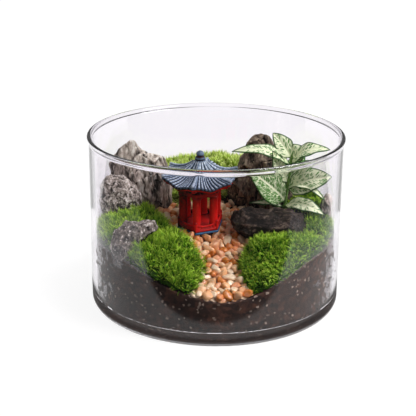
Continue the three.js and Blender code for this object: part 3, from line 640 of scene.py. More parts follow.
def nerve_leaf(settings):
    """Living nerve-plant leaf: satin, green cells in a raised pale net, a dark edge."""
    made = new_material("nerve_plant_leaf", Roughness=0.5, Specular_IOR_Level=0.35)
    tree = made[1]
    # blade_place is the place on the blade in millimetres, along and across, and the way left
    # to the edge; blade_green is how much of that leaf is green.
    place = node(tree, "ShaderNodeAttribute", attribute_name="blade_place").outputs["Vector"]
    lush = node(tree, "ShaderNodeAttribute", attribute_name="blade_green").outputs["Fac"]
    split = node(tree, "ShaderNodeSeparateXYZ", {"Vector": place})
    across = node(tree, "ShaderNodeMath", {0: split.outputs["Y"]}, operation="ABSOLUTE")
    # The green cells lie between the side veins.
    slant = node(tree, "ShaderNodeMath", {0: across.outputs[0], 1: -VEIN_SLANT,
                                          2: split.outputs["X"]}, operation="MULTIPLY_ADD")
    short_way = node(tree, "ShaderNodeMath", {0: slant.outputs[0], 1: settings.cell / MM},
                     operation="DIVIDE")
    long_way = node(tree, "ShaderNodeMath", {0: split.outputs["Y"],
                                             1: settings.cell_length / MM}, operation="DIVIDE")
    net_place = node(tree, "ShaderNodeCombineXYZ", {
        "X": short_way.outputs[0], "Y": long_way.outputs[0]})
    net = node(tree, "ShaderNodeTexVoronoi", {
        "Vector": net_place.outputs[0], "Scale": 1.0, "Randomness": 0.7},
        feature="DISTANCE_TO_EDGE")
    # The greener the leaf, the thinner its veins.
    vein = node(tree, "ShaderNodeMath", {0: lush, 1: -0.3, 2: 0.32}, operation="MULTIPLY_ADD")
    past_vein = node(tree, "ShaderNodeMath", {0: net.outputs["Distance"], 1: vein.outputs[0]},
                     operation="SUBTRACT")
    cells = node(tree, "ShaderNodeMapRange", {
        "Value": past_vein.outputs[0], "From Min": -0.02, "From Max": 0.03})
    off_rib = node(tree, "ShaderNodeMapRange", {
        "Value": across.outputs[0], "From Min": 0.5, "From Max": 0.9})
    green = node(tree, "ShaderNodeMath", {0: cells.outputs[0], 1: off_rib.outputs[0]},
                 operation="MULTIPLY")
    body = node(tree, "ShaderNodeMix", {
        "Factor": green.outputs[0], "A": solid(settings.pale), "B": solid(settings.green)},
        data_type="RGBA")
    rim = node(tree, "ShaderNodeMapRange", {
        "Value": split.outputs["Z"], "From Min": settings.margin / MM,
        "From Max": 0.45 * settings.margin / MM})
    edged = node(tree, "ShaderNodeMix", {
        "Factor": rim.outputs[0], "A": body.outputs["Result"], "B": solid(settings.edge)},
        data_type="RGBA")
    return dressed(made, edged.outputs["Result"], green.outputs[0], 0.25, 0.7, invert=True)


def green_stalk(settings):
    """Living stem, smooth and satin: pale green with darker flecks."""
    made = new_material("nerve_plant_stalk", Roughness=0.45)
    tree = made[1]
    place = node(tree, "ShaderNodeTexCoord").outputs["Object"]
    fleck = node(tree, "ShaderNodeTexNoise", {
        "Vector": place, "Scale": 1 / (1.6 * MM), "Detail": 3.0})
    tone = node(tree, "ShaderNodeValToRGB", {"Fac": fleck.outputs["Fac"]}, stops=[
        (0.35, toned(settings.stalk, 0.45)), (0.6, settings.stalk)])
    return dressed(made, tone.outputs["Color"])


def opal_acrylic(name, settings, glow):
    """Matt opal acrylic sheet, lit from below: an even pale field with hardly a shadow."""
    made = new_material(name, Roughness=0.9, Specular_IOR_Level=0.1,
                        Emission_Color=(1, 1, 1, 1))
    _, tree, shader = made
    place = node(tree, "ShaderNodeTexCoord").outputs["Object"]
    # The real sheet has no grain that shows; a cloud 40 mm wide stands for its unevenness.
    cloud = node(tree, "ShaderNodeTexNoise", {"Vector": place, "Scale": 1 / (40 * MM)})
    tone = node(tree, "ShaderNodeValToRGB", {"Fac": cloud.outputs["Fac"]}, stops=[
        (0.0, toned(settings.acrylic, 0.99)), (1.0, settings.acrylic)])
    # lit falls from 1 to 0 where the lamps under the sheet end; on the small sheet it also holds a
    # painted shadow round the bowl.
    lit = node(tree, "ShaderNodeAttribute", attribute_name="lit").outputs["Fac"]
    strength = node(tree, "ShaderNodeMath", {0: lit, 1: glow}, operation="MULTIPLY")
    tree.links.new(strength.outputs[0], shader.inputs["Emission Strength"])
    return dressed(made, tone.outputs["Color"])


# ---------------------------------------------------------------- glass bowl


class TERRARIUM_OT_bowl(bpy.types.Operator):
    """Turns the glass bowl, with its rounded rim bead and thick base"""
    bl_idname = "terrarium.bowl"
    bl_label = "Glass bowl"

    def execute(self, context):
        sizes = context.scene.terrarium_bowl
        radius, height = BOWL_HIGH.x / MM, BOWL_HIGH.z / MM
        wall_radius = radius - sizes.bead / MM
        inner = wall_radius - sizes.wall / MM
        outer_corner, inner_corner = sizes.outer_corner / MM, sizes.inner_corner / MM
        floor, fillet = sizes.floor / MM, sizes.fillet / MM
        inner_fillet = sizes.inner_fillet / MM
        taper, taper_height = sizes.taper / MM, sizes.taper_height / MM
        flare_top = height - fillet - 0.1
        flare_foot = flare_top - sizes.flare / MM
        profile = [(r, 0) for r in np.linspace(2, wall_radius - outer_corner - 0.5, 8)]
        profile += arc(wall_radius - outer_corner, outer_corner, outer_corner, -90, 0, 14)
        profile += [(wall_radius, z) for z in np.linspace(outer_corner + 0.5, flare_foot - 0.4, 14)]
        # The wall flares into the rim at an almost even slope, then rounds over at both edges.
        for share in np.linspace(0, 1, 12):
            eased = share - 0.06 * math.sin(2 * math.pi * share)
            profile.append((wall_radius + eased * (radius - wall_radius),
                            flare_foot + share * (flare_top - flare_foot)))
        profile += arc(radius - fillet, height - fillet, fillet, 4, 90, 12)
        taper_top = height - inner_fillet
        profile += arc(inner + taper + inner_fillet, taper_top, inner_fillet, 90, 179, 16)
        for share in np.linspace(0.02, 1, 14):
            profile.append((inner + taper * (1 - share), taper_top - share * taper_height))
        profile += [(inner, z) for z in np.linspace(taper_top - taper_height - 1,
                                                    floor + inner_corner + 0.5, 16)]
        profile += arc(inner - inner_corner, floor + inner_corner, inner_corner, 0, -90, 14)
        profile += [(r, floor) for r in np.linspace(inner - inner_corner - 0.5, 2, 8)]
        bowl = Shape().add(*lathe(profile, segments=256)).piece(
            "glass_bowl_blown", soda_lime_glass(sizes), recalculate=True)
        bowl.visible_shadow = False
        stands_for(bowl, "glass", "glass_bowl")
        return {"FINISHED"}


# ---------------------------------------------------------------- soil


def glass_depth(points):
    """How far points lie inside the bowl's inner skin, and the way straight towards it."""
    inner, floor, corner = into_glass()
    far = np.hypot(points[:, 0], points[:, 1])
    over = np.maximum(far - (inner - corner), 0)
    under = np.maximum(floor + corner - points[:, 2], 0)
    reach = np.hypot(over, under)
    around = (over > 0) & (under > 0)
    depth = np.where(around, corner - reach, np.minimum(inner - far, points[:, 2] - floor))
    wall_side = np.where(around, over / np.maximum(reach, 1e-6), inner - far < points[:, 2] - floor)
    base_side = np.where(around, under / np.maximum(reach, 1e-6), 1 - wall_side)
    out = points[:, :2] / np.maximum(far, 1e-6)[:, None]
    way = np.column_stack([out * wall_side[:, None], -base_side])
    return depth, way, np.degrees(np.arctan2(base_side, wall_side))


class TERRARIUM_OT_soil(bpy.types.Operator):
    """Banks the soil: crumbs pressed against the glass, its underside wet on the base"""
    bl_idname = "terrarium.soil"
    bl_label = "Soil"

    def execute(self, context):
        sizes = context.scene.terrarium_soil
        grain, relief = sizes.grain / MM, sizes.relief / MM
        points, normals, mesh = remeshed("soil_bank", "soil", cell=1.15)
        depth, way, slope = glass_depth(points)
        # Wet soil lies against the glass with no air between, a hair into it. Towards the sides
        # it does so in fewer and fewer patches, and a thin line of air runs round the base.
        dryness = (points[:, 1] * MM - sizes.wet_front) / (sizes.dry_sides - sizes.wet_front)
        wet = waves(points, wavelength=5, seed=8, octaves=3) > 2 * dryness - 1
        touching = (depth < 1.0) & np.where(slope > sizes.air_from, slope > sizes.air_to, wet)
        beside = depth < 1.6
        lumps = crumbs(points, grain, seed=3)
        coarse = waves(points, wavelength=9, seed=5)
        shift = -relief * np.clip(lumps, 0, 1.2) + 0.35 * coarse
        points = points + normals * np.where(beside, 0, shift)[:, None]
        points = points + way * np.where(touching, depth + PRESSED_IN, 0)[:, None]
        soil = placed("soil_bank", reshaped(mesh, points), potting_soil(sizes))
        stands_for(soil, "soil", "soil")
        return {"FINISHED"}


# ---------------------------------------------------------------- gravel

STRAY = 0.12  # how far a pebble strays from its place in the rows, as a share of the spacing
REACH = 2.4  # the bed has to reach this far round a pebble, in millimetres
SUNK, LAYER = 1.1, 2.9  # how deep the upper pebbles lie, and how far the next layer is below
UP_HIGH = 150  # a height above everything in the bowl, in millimetres


def pebble_forms(random, count):
    """A few worn pebbles on a unit sphere: rounded, with flats broken by knocks."""
    work = bmesh.new()
    bmesh.ops.create_icosphere(work, subdivisions=3, radius=1)
    ball = np.array([v.co for v in work.verts])
    faces = np.array([[v.index for v in face.verts] for face in work.faces])
    work.free()
    forms = []
    for index in range(count):
        form = ball * (1 + 0.2 * waves(ball, 1.3, 40 + index)[:, None])
        for _ in range(7):
            way = random.normal(size=3)
            way /= np.linalg.norm(way)
            over = np.maximum(form @ way - random.uniform(0.55, 0.85), 0)
            form = form - 0.85 * over[:, None] * way
        forms.append(form)
    return forms, faces


def settled(centres, radii, target, rounds=60):
    """Pushes crowded pebbles apart while each is drawn back to its own height."""
    for _ in range(rounds):
        gap = centres[:, None] - centres[None]
        far = np.linalg.norm(gap, axis=2) + np.eye(len(centres)) * 99
        over = np.maximum(0.86 * (radii[:, None] + radii[None]) - far, 0)
        centres = centres + 0.35 * (gap / far[..., None] * over[..., None]).sum(1)
        centres[:, 2] += 0.2 * (target - centres[:, 2])
    return centres


class TERRARIUM_OT_gravel(bpy.types.Operator):
    """Lays the gravel path, pebble by pebble, in two layers"""
    bl_idname = "terrarium.gravel"
    bl_label = "Gravel path"

    def execute(self, context):
        sizes = context.scene.terrarium_gravel
        spacing, usual = sizes.spacing / MM, sizes.pebble / MM
        random = np.random.default_rng(7)
        bed = tree_of("gravel_path")
        low, high = (np.array(corner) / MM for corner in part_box("gravel_path"))
        spots = []
        for layer in range(2):
            row = 0
            y = low[1]
            while y < high[1]:
                x = low[0] + (row % 2 + layer) * spacing / 2
                while x < high[0]:
                    spots.append((x, y + layer * spacing * 0.55, layer))
                    x += spacing
                y += spacing * math.sqrt(0.75)
                row += 1
        centres, targets = [], []
        for x, y, layer in spots:
            x += random.normal() * STRAY * spacing
            y += random.normal() * STRAY * spacing
            tops = [bed.ray_cast(Vector((x + dx, y + dy, UP_HIGH)), Vector((0, 0, -1)))[0]
                    for dx, dy in ((0, 0), (REACH, 0), (-REACH, 0), (0, REACH), (0, -REACH))]
            if tops[0] is None or sum(top is not None for top in tops) < 4:
                continue
            level = np.mean([top.z for top in tops if top is not None])
            targets.append(level - SUNK - LAYER * layer)
            centres.append((x, y, targets[-1]))
        centres, targets = np.array(centres), np.array(targets)
        radii = usual / 2 * random.uniform(0.68, 1.15, len(centres))
        centres = settled(centres, radii, targets)
        forms, faces = pebble_forms(random, count=14)
        shape = Shape()
        limit = into_glass()[0] - 0.5
        for centre, radius in zip(centres, radii):
            form = forms[random.integers(len(forms))]
            far = math.hypot(centre[0], centre[1])
            centre[:2] *= min(1, (limit - 0.95 * radius) / far)
            stretch = np.array([random.uniform(1.1, 1.5), random.uniform(0.85, 1.05),
                                random.uniform(0.68, 0.9)])
            turn = (Matrix.Rotation(random.uniform(0, 2 * math.pi), 3, "Z")
                    @ Matrix.Rotation(random.normal() * 0.45, 3, "X")
                    @ Matrix.Rotation(random.normal() * 0.45, 3, "Y"))
            points = centre + (form * stretch * radius) @ np.array(turn).T
            shape.add(inside_glass(points), [faces], pebble_tone=random.uniform(0, 1))
        gravel = shape.piece("gravel_pebbles", river_gravel(sizes))
        stands_for(gravel, "gravel", "gravel_path")
        return {"FINISHED"}


# ---------------------------------------------------------------- moss

# How each cushion grows: its share of the usual leaf length, how far the leaves spread, its
# share of dull tufts, its leaves to a tuft, and whether it is new growth.
CUSHIONS = {
    "moss_front_left": {"length": 1.2, "spread": 0.85, "dull": 0.2, "leaves": 12, "young": False},
    "moss_left": {"length": 1.1, "spread": 0.75, "dull": 0.25, "leaves": 12, "young": False},
    "moss_front_right": {"length": 0.9, "spread": 1.1, "dull": 0.5, "leaves": 14, "young": False},
    "moss_right": {"length": 0.8, "spread": 0.95, "dull": 0.4, "leaves": 11, "young": False},
    "moss_back": {"length": 0.95, "spread": 0.9, "dull": 0.1, "leaves": 11, "young": True},
}


def scattered(node_name, spacing, random):
    """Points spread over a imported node's upper faces, with the faces' normals."""
    points, triangles = corners_of(node_name)
    a, b, c = (points[triangles[:, k]] for k in range(3))
    cross = np.cross(b - a, c - a)
    area = np.linalg.norm(cross, axis=1) / 2
    normal = cross / np.maximum(2 * area, 1e-9)[:, None]
    area = np.where(normal[:, 2] > 0.12, area, 0)
    count = int(area.sum() / spacing ** 2)
    face = random.choice(len(area), count, p=area / area.sum())
    u, v = random.random((2, count))
    over = u + v > 1
    u[over], v[over] = 1 - u[over], 1 - v[over]
    spot = a[face] + u[:, None] * (b - a)[face] + v[:, None] * (c - a)[face]
    return spot, normal[face]


LEAF_POINTS = 7  # three round the foot, three round the bend and the tip


def moss_leaves(spots, axes, leaf_length, width, spread, random, leaves):
    """Needle leaves fanning out of each tuft: three-sided, bent once, closed at the foot."""
    count = len(spots) * leaves
    root = np.repeat(spots, leaves, 0)
    axis = np.repeat(axes, leaves, 0)
    side = np.cross(axis, random.normal(size=(count, 3)))
    side /= np.linalg.norm(side, axis=1, keepdims=True)
    tilt = spread * random.uniform(0.1, 1.0, count)[:, None]
    reach = leaf_length * random.uniform(0.6, 1.15, count)[:, None]
    way = axis * np.cos(tilt) + side * np.sin(tilt)
    bend = axis * np.cos(1.7 * tilt) + side * np.sin(1.7 * tilt)
    flat = np.cross(way, side)
    flat /= np.linalg.norm(flat, axis=1, keepdims=True) + 1e-9
    depth = np.cross(flat, way)
    # Each leaf starts 2.6 mm down in the bed and bends a little over half-way up.
    foot = root - axis * 2.6 + side * 0.35
    middle = foot + way * reach * 0.55
    tip = middle + bend * reach * 0.5
    half = width / 2 * random.uniform(0.7, 1.2, count)[:, None]
    ring = lambda centre, share: [centre + flat * half * share, centre - flat * half * share,
                                  centre + depth * half * 0.5 * share]
    points = np.stack([*ring(foot, 0.7), *ring(middle, 1.0), tip], 1)
    start = np.arange(count)[:, None] * LEAF_POINTS
    quads = np.concatenate([start + np.array(q) for q in
                            ([0, 1, 4, 3], [1, 2, 5, 4], [2, 0, 3, 5])])
    tips = np.concatenate([start + np.array(t) for t in
                           ([3, 4, 6], [4, 5, 6], [5, 3, 6], [0, 2, 1])])
    height = np.tile(3 * [0.1] + 3 * [0.62] + [1.0], count)
    return points.reshape(-1, 3), [quads, tips], height


class TERRARIUM_OT_moss(bpy.types.Operator):
    """Grows the moss cushions: a dark bed full of tufts of needle leaves"""
    bl_idname = "terrarium.moss"
    bl_label = "Moss cushions"

    def execute(self, context):
        sizes = context.scene.terrarium_moss
        mature = living_moss("living_cushion_moss", sizes, sizes.tip, sizes.middle)
        young = living_moss("living_cushion_moss_new_growth", sizes, sizes.young,
                            sizes.young_middle)
        for index, (name, habit) in enumerate(CUSHIONS.items()):
            random = np.random.default_rng(200 + index)
            shape = Shape()
            bed, normals, mesh = remeshed(name + "_bed", name, cell=1.6)
            bed = bed - normals * (1.5 * np.clip(normals[:, 2], 0.15, 1)
                                   - 0.5 * waves(bed, 3, index))[:, None]
            quads = gathered(mesh.polygons, "vertices", 4, np.int32)
            bed = inside_glass(bed, pressed=True, drawn_to=1.8)
            # The bed sits low on the height ramp, so it takes the painted shade between the shoots.
            shape.add(bed, [quads], shoot_height=0.25, shoot_tone=0.5)
            bpy.data.meshes.remove(mesh)
            spots, normal = scattered(name, sizes.spacing / MM, random)
            axes = 0.75 * normal + (0, 0, 0.7) + 0.28 * random.normal(size=spots.shape)
            axes /= np.linalg.norm(axes, axis=1, keepdims=True)
            leaves = habit["leaves"]
            points, faces, height = moss_leaves(
                spots, axes, habit["length"] * sizes.shoot / MM, sizes.width / MM,
                habit["spread"], random, leaves)
            patch = 0.5 + 0.9 * waves(spots, 14, 60 + index)
            tone = np.clip(patch + habit["dull"] - 0.5 + 0.25 * random.normal(size=len(spots)),
                           0, 1)
            points = inside_glass(points, pressed=True, drawn_to=0.5)
            # Each leaf also has a tone of its own, so that it stands out from its neighbours.
            tone = np.repeat(tone, leaves)
            tone = np.clip(tone + 0.3 * random.normal(size=len(tone)), 0, 1)
            shape.add(points, faces, shoot_height=height, shoot_tone=np.repeat(tone, LEAF_POINTS))
            cushion = shape.piece(name + "_shoots", young if habit["young"] else mature,
                                  smooth=False)
            stands_for(cushion, "moss", name)
        return {"FINISHED"}


# ---------------------------------------------------------------- stones

# How each stone weathered: the size of its broken faces and how far they are drawn out up the
# stone, the depth of its fissures in millimetres, how much it crumbles, its finish and seed.
WEATHERING = {
    "rock_tall_left": (12, 0.6, 2.4, 0.8, "split_grey", 1),
    "rock_round_left": (8, 1.0, 0.8, 0.8, "speckled_grey", 2),
    "rock_wedge_left": (11, 0.9, 0.6, 0.6, "veined_grey", 3),
    "rock_small_right": (7, 1.0, 0.6, 0.7, "split_grey", 4),
    "rock_tall_right": (12, 0.7, 1.6, 0.7, "split_brown", 5),
    "rock_second_right": (9, 0.8, 1.0, 0.7, "split_brown", 6),
    "rock_flat_right": (11, 1.3, 0.8, 0.7, "split_dark", 7),
}


def broken(points, normals, cell, drawn, random, strength=0.92, blend=1.6):
    """Flattens a surface towards one plane round each of many spots, as a stone splits."""
    stretch = np.array([1, 1, drawn])
    spots = points[random.choice(len(points), max(8, int(len(points) * 0.6 / cell ** 2)),
                                 replace=False)]
    far = (((points[:, None] - spots[None]) * stretch) ** 2).sum(2)
    nearest = far.argmin(1)
    near = far - far.min(1, keepdims=True)
    facing = np.array([normals[nearest == k].mean(0) if (nearest == k).any() else (0, 0, 1)
                       for k in range(len(spots))])
    middle = np.array([points[nearest == k].mean(0) if (nearest == k).any() else spot
                       for k, spot in enumerate(spots)])
    facing = facing + 0.16 * random.normal(size=facing.shape)
    facing /= np.linalg.norm(facing, axis=1, keepdims=True)
    weight = np.exp(-near / blend)
    weight /= weight.sum(1, keepdims=True)
    above = (points[:, None] * facing[None]).sum(2) - (middle * facing).sum(1)[None]
    return points - strength * np.einsum("ij,ij,jk->ik", weight, above, facing)


def proudness(mesh, points, normals, rounds):
    """How far each point stands above (or, negative, below) its neighbours."""
    a, b = gathered(mesh.edges, "vertices", 2, np.int32).T
    count = np.bincount(np.concatenate([a, b]), minlength=len(points))[:, None]

    def averaged(values):
        total = np.zeros_like(values)
        np.add.at(total, a, values[b])
        np.add.at(total, b, values[a])
        return total / np.maximum(count, 1)

    smooth = points
    for _ in range(rounds):
        smooth = averaged(smooth)
    return ((points - smooth) * normals).sum(1)


class TERRARIUM_OT_stones(bpy.types.Operator):
    """Weathers the stones: broken faces, fissures and worn edges over each stone's form"""
    bl_idname = "terrarium.stones"
    bl_label = "Stones"

    def execute(self, context):
        tones = context.scene.terrarium_stones
        grey = (tones.grey_dark, tones.grey, tones.grey_pale)
        brown = (tones.dark_deep, tones.dark, tones.dark_pale)
        speckled = (tones.grey_dark, toned(tones.grey, 0.7), tones.grey_pale)
        veined = (tones.grey_dark, toned(tones.grey, 0.5), tones.grey_pale)
        dark = (tones.dark_deep, toned(tones.dark, 0.16), toned(tones.dark, 0.9))
        # Each finish: its slot, stone and colours, the size of its mottling in millimetres, how
        # far that is drawn out up the stone and how chalky it is.
        finishes = {finish: (slot, field_stone(f"{finish}_{kind}", *colours, *look))
                    for finish, slot, kind, colours, *look in (
                        ("split_grey", "grey_stone", "limestone", grey, 9, 0.3, 0.02),
                        ("speckled_grey", "grey_stone", "limestone", speckled, 3.2, 1.0, 0.05),
                        ("veined_grey", "grey_stone", "limestone", veined, 7, 0.8, 0.03),
                        ("split_brown", "dark_stone", "slate", brown, 7, 0.45, 0.0),
                        ("split_dark", "dark_stone", "slate", dark, 8, 1.6, -0.04))}
        for name, (cell, drawn, depth, crumble, finish, seed) in WEATHERING.items():
            random = np.random.default_rng(500 + seed)
            points, normals, mesh = remeshed(name + "_split", name, cell=0.7)
            points = broken(points, normals, cell, drawn, random)
            stretched = points * (1, 1, drawn)
            broad = waves(points, 16, 10 * seed)
            ridge = 1 - np.abs(waves(stretched, 1.3 * cell, 10 * seed + 1, 3)) * 2.4
            cracked = np.clip(4 * waves(stretched, 1.6 * cell, 10 * seed + 3), 0, 1)
            fissure = np.clip(ridge, 0, 1) ** 10 * cracked
            chips = waves(points, 3.2, 10 * seed + 2, 3)
            shift = 0.25 * broad - depth * fissure + 0.22 * crumble * chips
            points = inside_glass(points + normals * shift[:, None])
            # Paler on ridges as worn edges, darker in hollows and fissures as painted shade.
            worn = np.clip(proudness(mesh, points, normals, rounds=5) / 0.45, -1.5, 1)
            slot, material = finishes[finish]
            stone = placed(name + "_split", reshaped(mesh, points, worn=worn - 0.5 * fissure),
                           material)
            stands_for(stone, slot, name)
        return {"FINISHED"}


# ---------------------------------------------------------------- pavilion

HEX = 6
SIDE = 2 * math.pi / HEX
DECK_TOP = 3.5  # top of the floor above the underside of the plinth, in millimetres
FAR_EAVE_DROP = 1.3  # how far the far eaves hang lower, in millimetres
HIP_CURL = 0.9  # how far the near ends of the hip ridges curl up, in millimetres
RIB_HEIGHT, GROOVE = 1.1, 0.45  # a rib above its grooves, and a groove below the roof's form
RIB_WEAR = 0.65  # the share of its ribs that the far side has lost


def pavilion_place(sizes):
    """Where the pavilion's own axis stands, in millimetres."""
    return (Matrix.Translation(Vector((sizes.x, sizes.y, sizes.z)) / MM)
            @ Matrix.Rotation(sizes.lean, 4, "X") @ Matrix.Rotation(sizes.turn, 4, "Z"))


def hex_edge(turn, radius):
    """Distance from the axis to a hexagon's edge, for a corner radius."""
    within = np.mod(turn, SIDE)
    return radius * math.cos(SIDE / 2) / np.cos(within - SIDE / 2)


def hex_ring(radius, z, steps=8):
    """One level outline of a hexagonal form, with so many points to a side."""
    turn = np.linspace(0, 2 * math.pi, HEX * steps, endpoint=False)
    edge = hex_edge(turn, radius)
    return np.stack([edge * np.cos(turn), edge * np.sin(turn), np.full(len(turn), z)], 1)


def hex_solid(profile):
    """A hexagonal form from [corner radius, height] points."""
    return skin([hex_ring(max(radius, 0.01), z) for radius, z in profile])


def hex_frame(outer, inner, bottom, top, bevel=0.25):
    """A hexagonal ring of beams with softened arrises."""
    section = [(inner + bevel, bottom), (outer - bevel, bottom), (outer, bottom + bevel),
               (outer, top - bevel), (outer - bevel, top), (inner + bevel, top),
               (inner, top - bevel), (inner, bottom + bevel)]
    rings = np.array([hex_ring(radius, z) for radius, z in section])
    levels, count = rings.shape[:2]
    index = np.arange(levels * count).reshape(levels, count)
    quads = np.stack([index, np.roll(index, -1, 1), np.roll(np.roll(index, -1, 0), -1, 1),
                      np.roll(index, -1, 0)], -1).reshape(-1, 4)
    return rings.reshape(-1, 3), [quads]


def on_corner(points, turn):
    """Points drawn on the +X side, turned to one corner or side of the pavilion."""
    c, s = math.cos(turn), math.sin(turn)
    x, y = points[:, 0].copy(), points[:, 1].copy()
    return np.stack([c * x - s * y, s * x + c * y, points[:, 2]], 1)


def bar(size, centre, bevel):
    """A bar with softened arrises, along X."""
    half = np.array(size) / 2
    rings = []
    for share in (-1, 1):
        for inset in ((bevel, 0) if share < 0 else (0, bevel)):
            y, z = half[1] - inset, half[2] - inset
            x = share * (half[0] - (bevel if inset == 0 else 0))
            rings.append([(x, y - bevel, z), (x, -y + bevel, z), (x, -y, z - bevel),
                          (x, -y, -z + bevel), (x, -y + bevel, -z), (x, y - bevel, -z),
                          (x, y, -z + bevel), (x, y, z - bevel)])
    points, faces = skin(rings)
    return points + np.array(centre), faces


def eave_height(sizes, turn):
    """Height of the eaves in one direction from the axis: they sag between the corners."""
    corner = np.abs(np.cos(HEX / 2 * turn)) ** 1.5
    return (sizes.corner_height - sizes.eave_sag * (1 - corner)) / MM


def roof_height(sizes, share, turn):
    """The roof's form under its ribs: steep at the neck and hollow towards the eaves."""
    fall = (1 - share) ** 2.35
    low = eave_height(sizes, turn)
    return low + (sizes.neck_height / MM - low) * fall - 0.5 * np.sin(math.pi * share)


def behind(sizes, turn):
    """How far one direction from the pavilion's axis points away from the viewer, 0 to 1."""
    return np.clip(1.5 * np.sin(turn + sizes.turn), 0, 1)


def roof_ring(sizes, share, drop, inset, steps, tiles=0):
    """One ring of the roof, and how light each of its points is painted, from 0 to 1: pale on the
    ribs as painted highlight, dark in the grooves as painted shade.
    """
    turn = np.linspace(0, 2 * math.pi, HEX * steps, endpoint=False)
    edge = hex_edge(turn, sizes.eave_radius / MM - inset)
    neck = sizes.neck_radius / MM
    radius = neck + (edge - neck) * share
    z = roof_height(sizes, share, turn) - drop
    proud = np.full(len(turn), 0.5)
    if tiles:
        side_share = np.mod(turn, SIDE) / SIDE
        # Fewer, coarser tiles round the steep neck than along the eaves.
        count = tiles if share > 0.34 else 3
        rib = np.abs(np.sin(math.pi * count * side_share)) ** 1.3
        hip = np.clip(1 - np.minimum(side_share, 1 - side_share) * 16, 0, 1)
        # Each rib is laid in short tiles, so its painted highlight breaks at every lap.
        lap = 0.72 + 0.36 * abs(math.sin(math.pi * 11 * share))
        proud = np.maximum(rib * lap, hip)
        # The far eaves hang a little lower, and their ribs are worn down.
        far = behind(sizes, turn)
        z = z - FAR_EAVE_DROP * far * share ** 2
        z = z + ((RIB_HEIGHT * rib * (1 - hip) - GROOVE) * (0.15 + 0.85 * share ** 1.5)
                 * (1 - RIB_WEAR * far))
    return np.stack([radius * np.cos(turn), radius * np.sin(turn), z], 1), proud


class TERRARIUM_OT_roof(bpy.types.Operator):
    """Lays the pavilion's tiled roof, its hip ridges and its finial"""
    bl_idname = "terrarium.roof"
    bl_label = "Pavilion roof"

    def execute(self, context):
        sizes = context.scene.terrarium_pavilion
        place = pavilion_place(sizes)
        tiled = paint_with_shade("painted_cast_resin_tiles", sizes.blue_deep, sizes.blue,
                             sizes.blue_pale, "proud")
        shape = Shape()
        steps, tiles = 80, 10
        rings, proud = [], []
        # The underside rings under the eaves are painted darker: painted shade.
        for share in np.linspace(0.12, 1, 10):
            ring, level = roof_ring(sizes, share, 1.6, 0.2, steps)
            rings.append(ring)
            proud.append(0.3 * level)
        for share in np.linspace(1, 0, 40):
            ring, level = roof_ring(sizes, share, 0, 0, steps, tiles)
            rings.append(ring)
            proud.append(level)
        points, faces = skin(rings)
        proud = np.concatenate([*proud, [0.3, 0.6]])
        shape.add(moved(points, place), faces, proud=proud)
        # Hip ridges: a rounded tile from the neck to each corner, its end curled up.
        neck, corner = sizes.neck_radius / MM, sizes.eave_radius / MM
        for index in range(HEX):
            share = np.linspace(0.12, 1, 30)
            reach = neck + (corner - neck) * share
            far = behind(sizes, index * SIDE)
            z = roof_height(sizes, share, np.zeros(1)) + 0.35
            z += HIP_CURL * share ** 8 * (1 - far) - FAR_EAVE_DROP * far * share ** 2
            path = np.stack([reach - 0.2, np.zeros(30), z], 1)
            radii = (0.45 + 0.8 * share) * np.where(share > 0.985, 0.75, 1)
            points, faces = tube(path, radii, sides=12)
            shape.add(moved(on_corner(points, index * SIDE), place), faces, proud=0.82)
        roof = shape.piece("pavilion_roof_tiled", tiled, recalculate=True)
        stands_for(roof, "blue_paint", "pavilion_roof")

        # The finial's levels: radius and height in millimetres, and how light each is painted: the
        # lowest draw the dark red paint of the foot and groove, the rest painted shade and
        # highlight on the blue.
        # A collar stands under a round knob, with a dark groove between them.
        neck_top = sizes.neck_height / MM + 0.3
        levels = [
            (0.3, 0, 0.1), (3.3, 0, 0.1), (3.5, 0.5, 0.5), (3.5, 1.3, 0.9), (3.15, 1.9, 0.6),
            (2.5, 2.2, 0.1), (2.1, 2.45, 0.02), (2.05, 2.75, 0.02), (2.35, 3.05, 0.15),
            (2.7, 3.5, 0.6), (2.8, 4.1, 0.9), (2.6, 4.8, 0.85), (2.1, 5.4, 0.8),
            (1.4, 5.85, 0.75), (0.85, 6.15, 0.75), (0.5, 6.45, 0.85), (0.15, 6.65, 0.9)]
        segments = 40
        points, faces = lathe([(r, z + neck_top) for r, z, _ in levels], segments)
        light_and_tone = np.append(np.repeat([light_and_tone for _, _, light_and_tone in levels], segments), [0.3, 0.9])
        finial = Shape().add(moved(points, place), faces, proud=light_and_tone)
        grooved = paint_with_shade("painted_cast_resin_finial", linear(0x3A0A0D),
                               toned(sizes.blue, 0.35), sizes.blue, "proud")
        finial = finial.piece("pavilion_finial_turned", grooved, recalculate=True)
        stands_for(finial, "blue_paint", "pavilion_finial")
        return {"FINISHED"}


def painted_left_shade(points, place):
    """How light the pavilion's parts are painted: darker on the left, as painted shade on the side
    away from the light.
    """
    unshaded_from, by_millimetre, least = -5, 0.075, 0.36
    aside = points[:, 0] - place.translation.x
    return np.clip(1 + by_millimetre * (aside - unshaded_from), least, 1)


def column_parts(sizes, place):
    """Six turned columns, in place, each with how light its points are painted, as painted shade
    and light.
    """
    lintel, radius = sizes.lintel_bottom / MM, sizes.column_radius / MM
    profile = [(radius + 0.5, DECK_TOP - 0.4), (radius + 0.5, DECK_TOP + 0.9),
               (radius + 0.1, DECK_TOP + 1.3), (radius, DECK_TOP + 1.7), (radius, 14),
               (radius * 0.97, lintel - 2.2), (radius + 0.25, lintel - 1.6),
               (radius + 0.3, lintel - 0.7), (radius, lintel + 0.6)]
    # The far columns stand in shade and would look black, so they are painted paler: painted light.
    far_painted_light = 1.7
    for index in range(HEX):
        points, faces = lathe(profile, segments=28)
        # Painted shade on the sides that face inwards and under the lintel.
        outwards = np.clip(0.75 + points[:, 0] / (2 * radius), 0.55, 1)
        below = 1 - 0.6 * np.clip((points[:, 2] - lintel + 7) / 7, 0, 1)
        points[:, 0] += sizes.column_ring / MM
        points = moved(on_corner(points, index * SIDE), place)
        far = points[:, 1].mean() > place.translation.y + 5
        yield points, faces, far_painted_light if far else outwards * below * painted_left_shade(points, place)


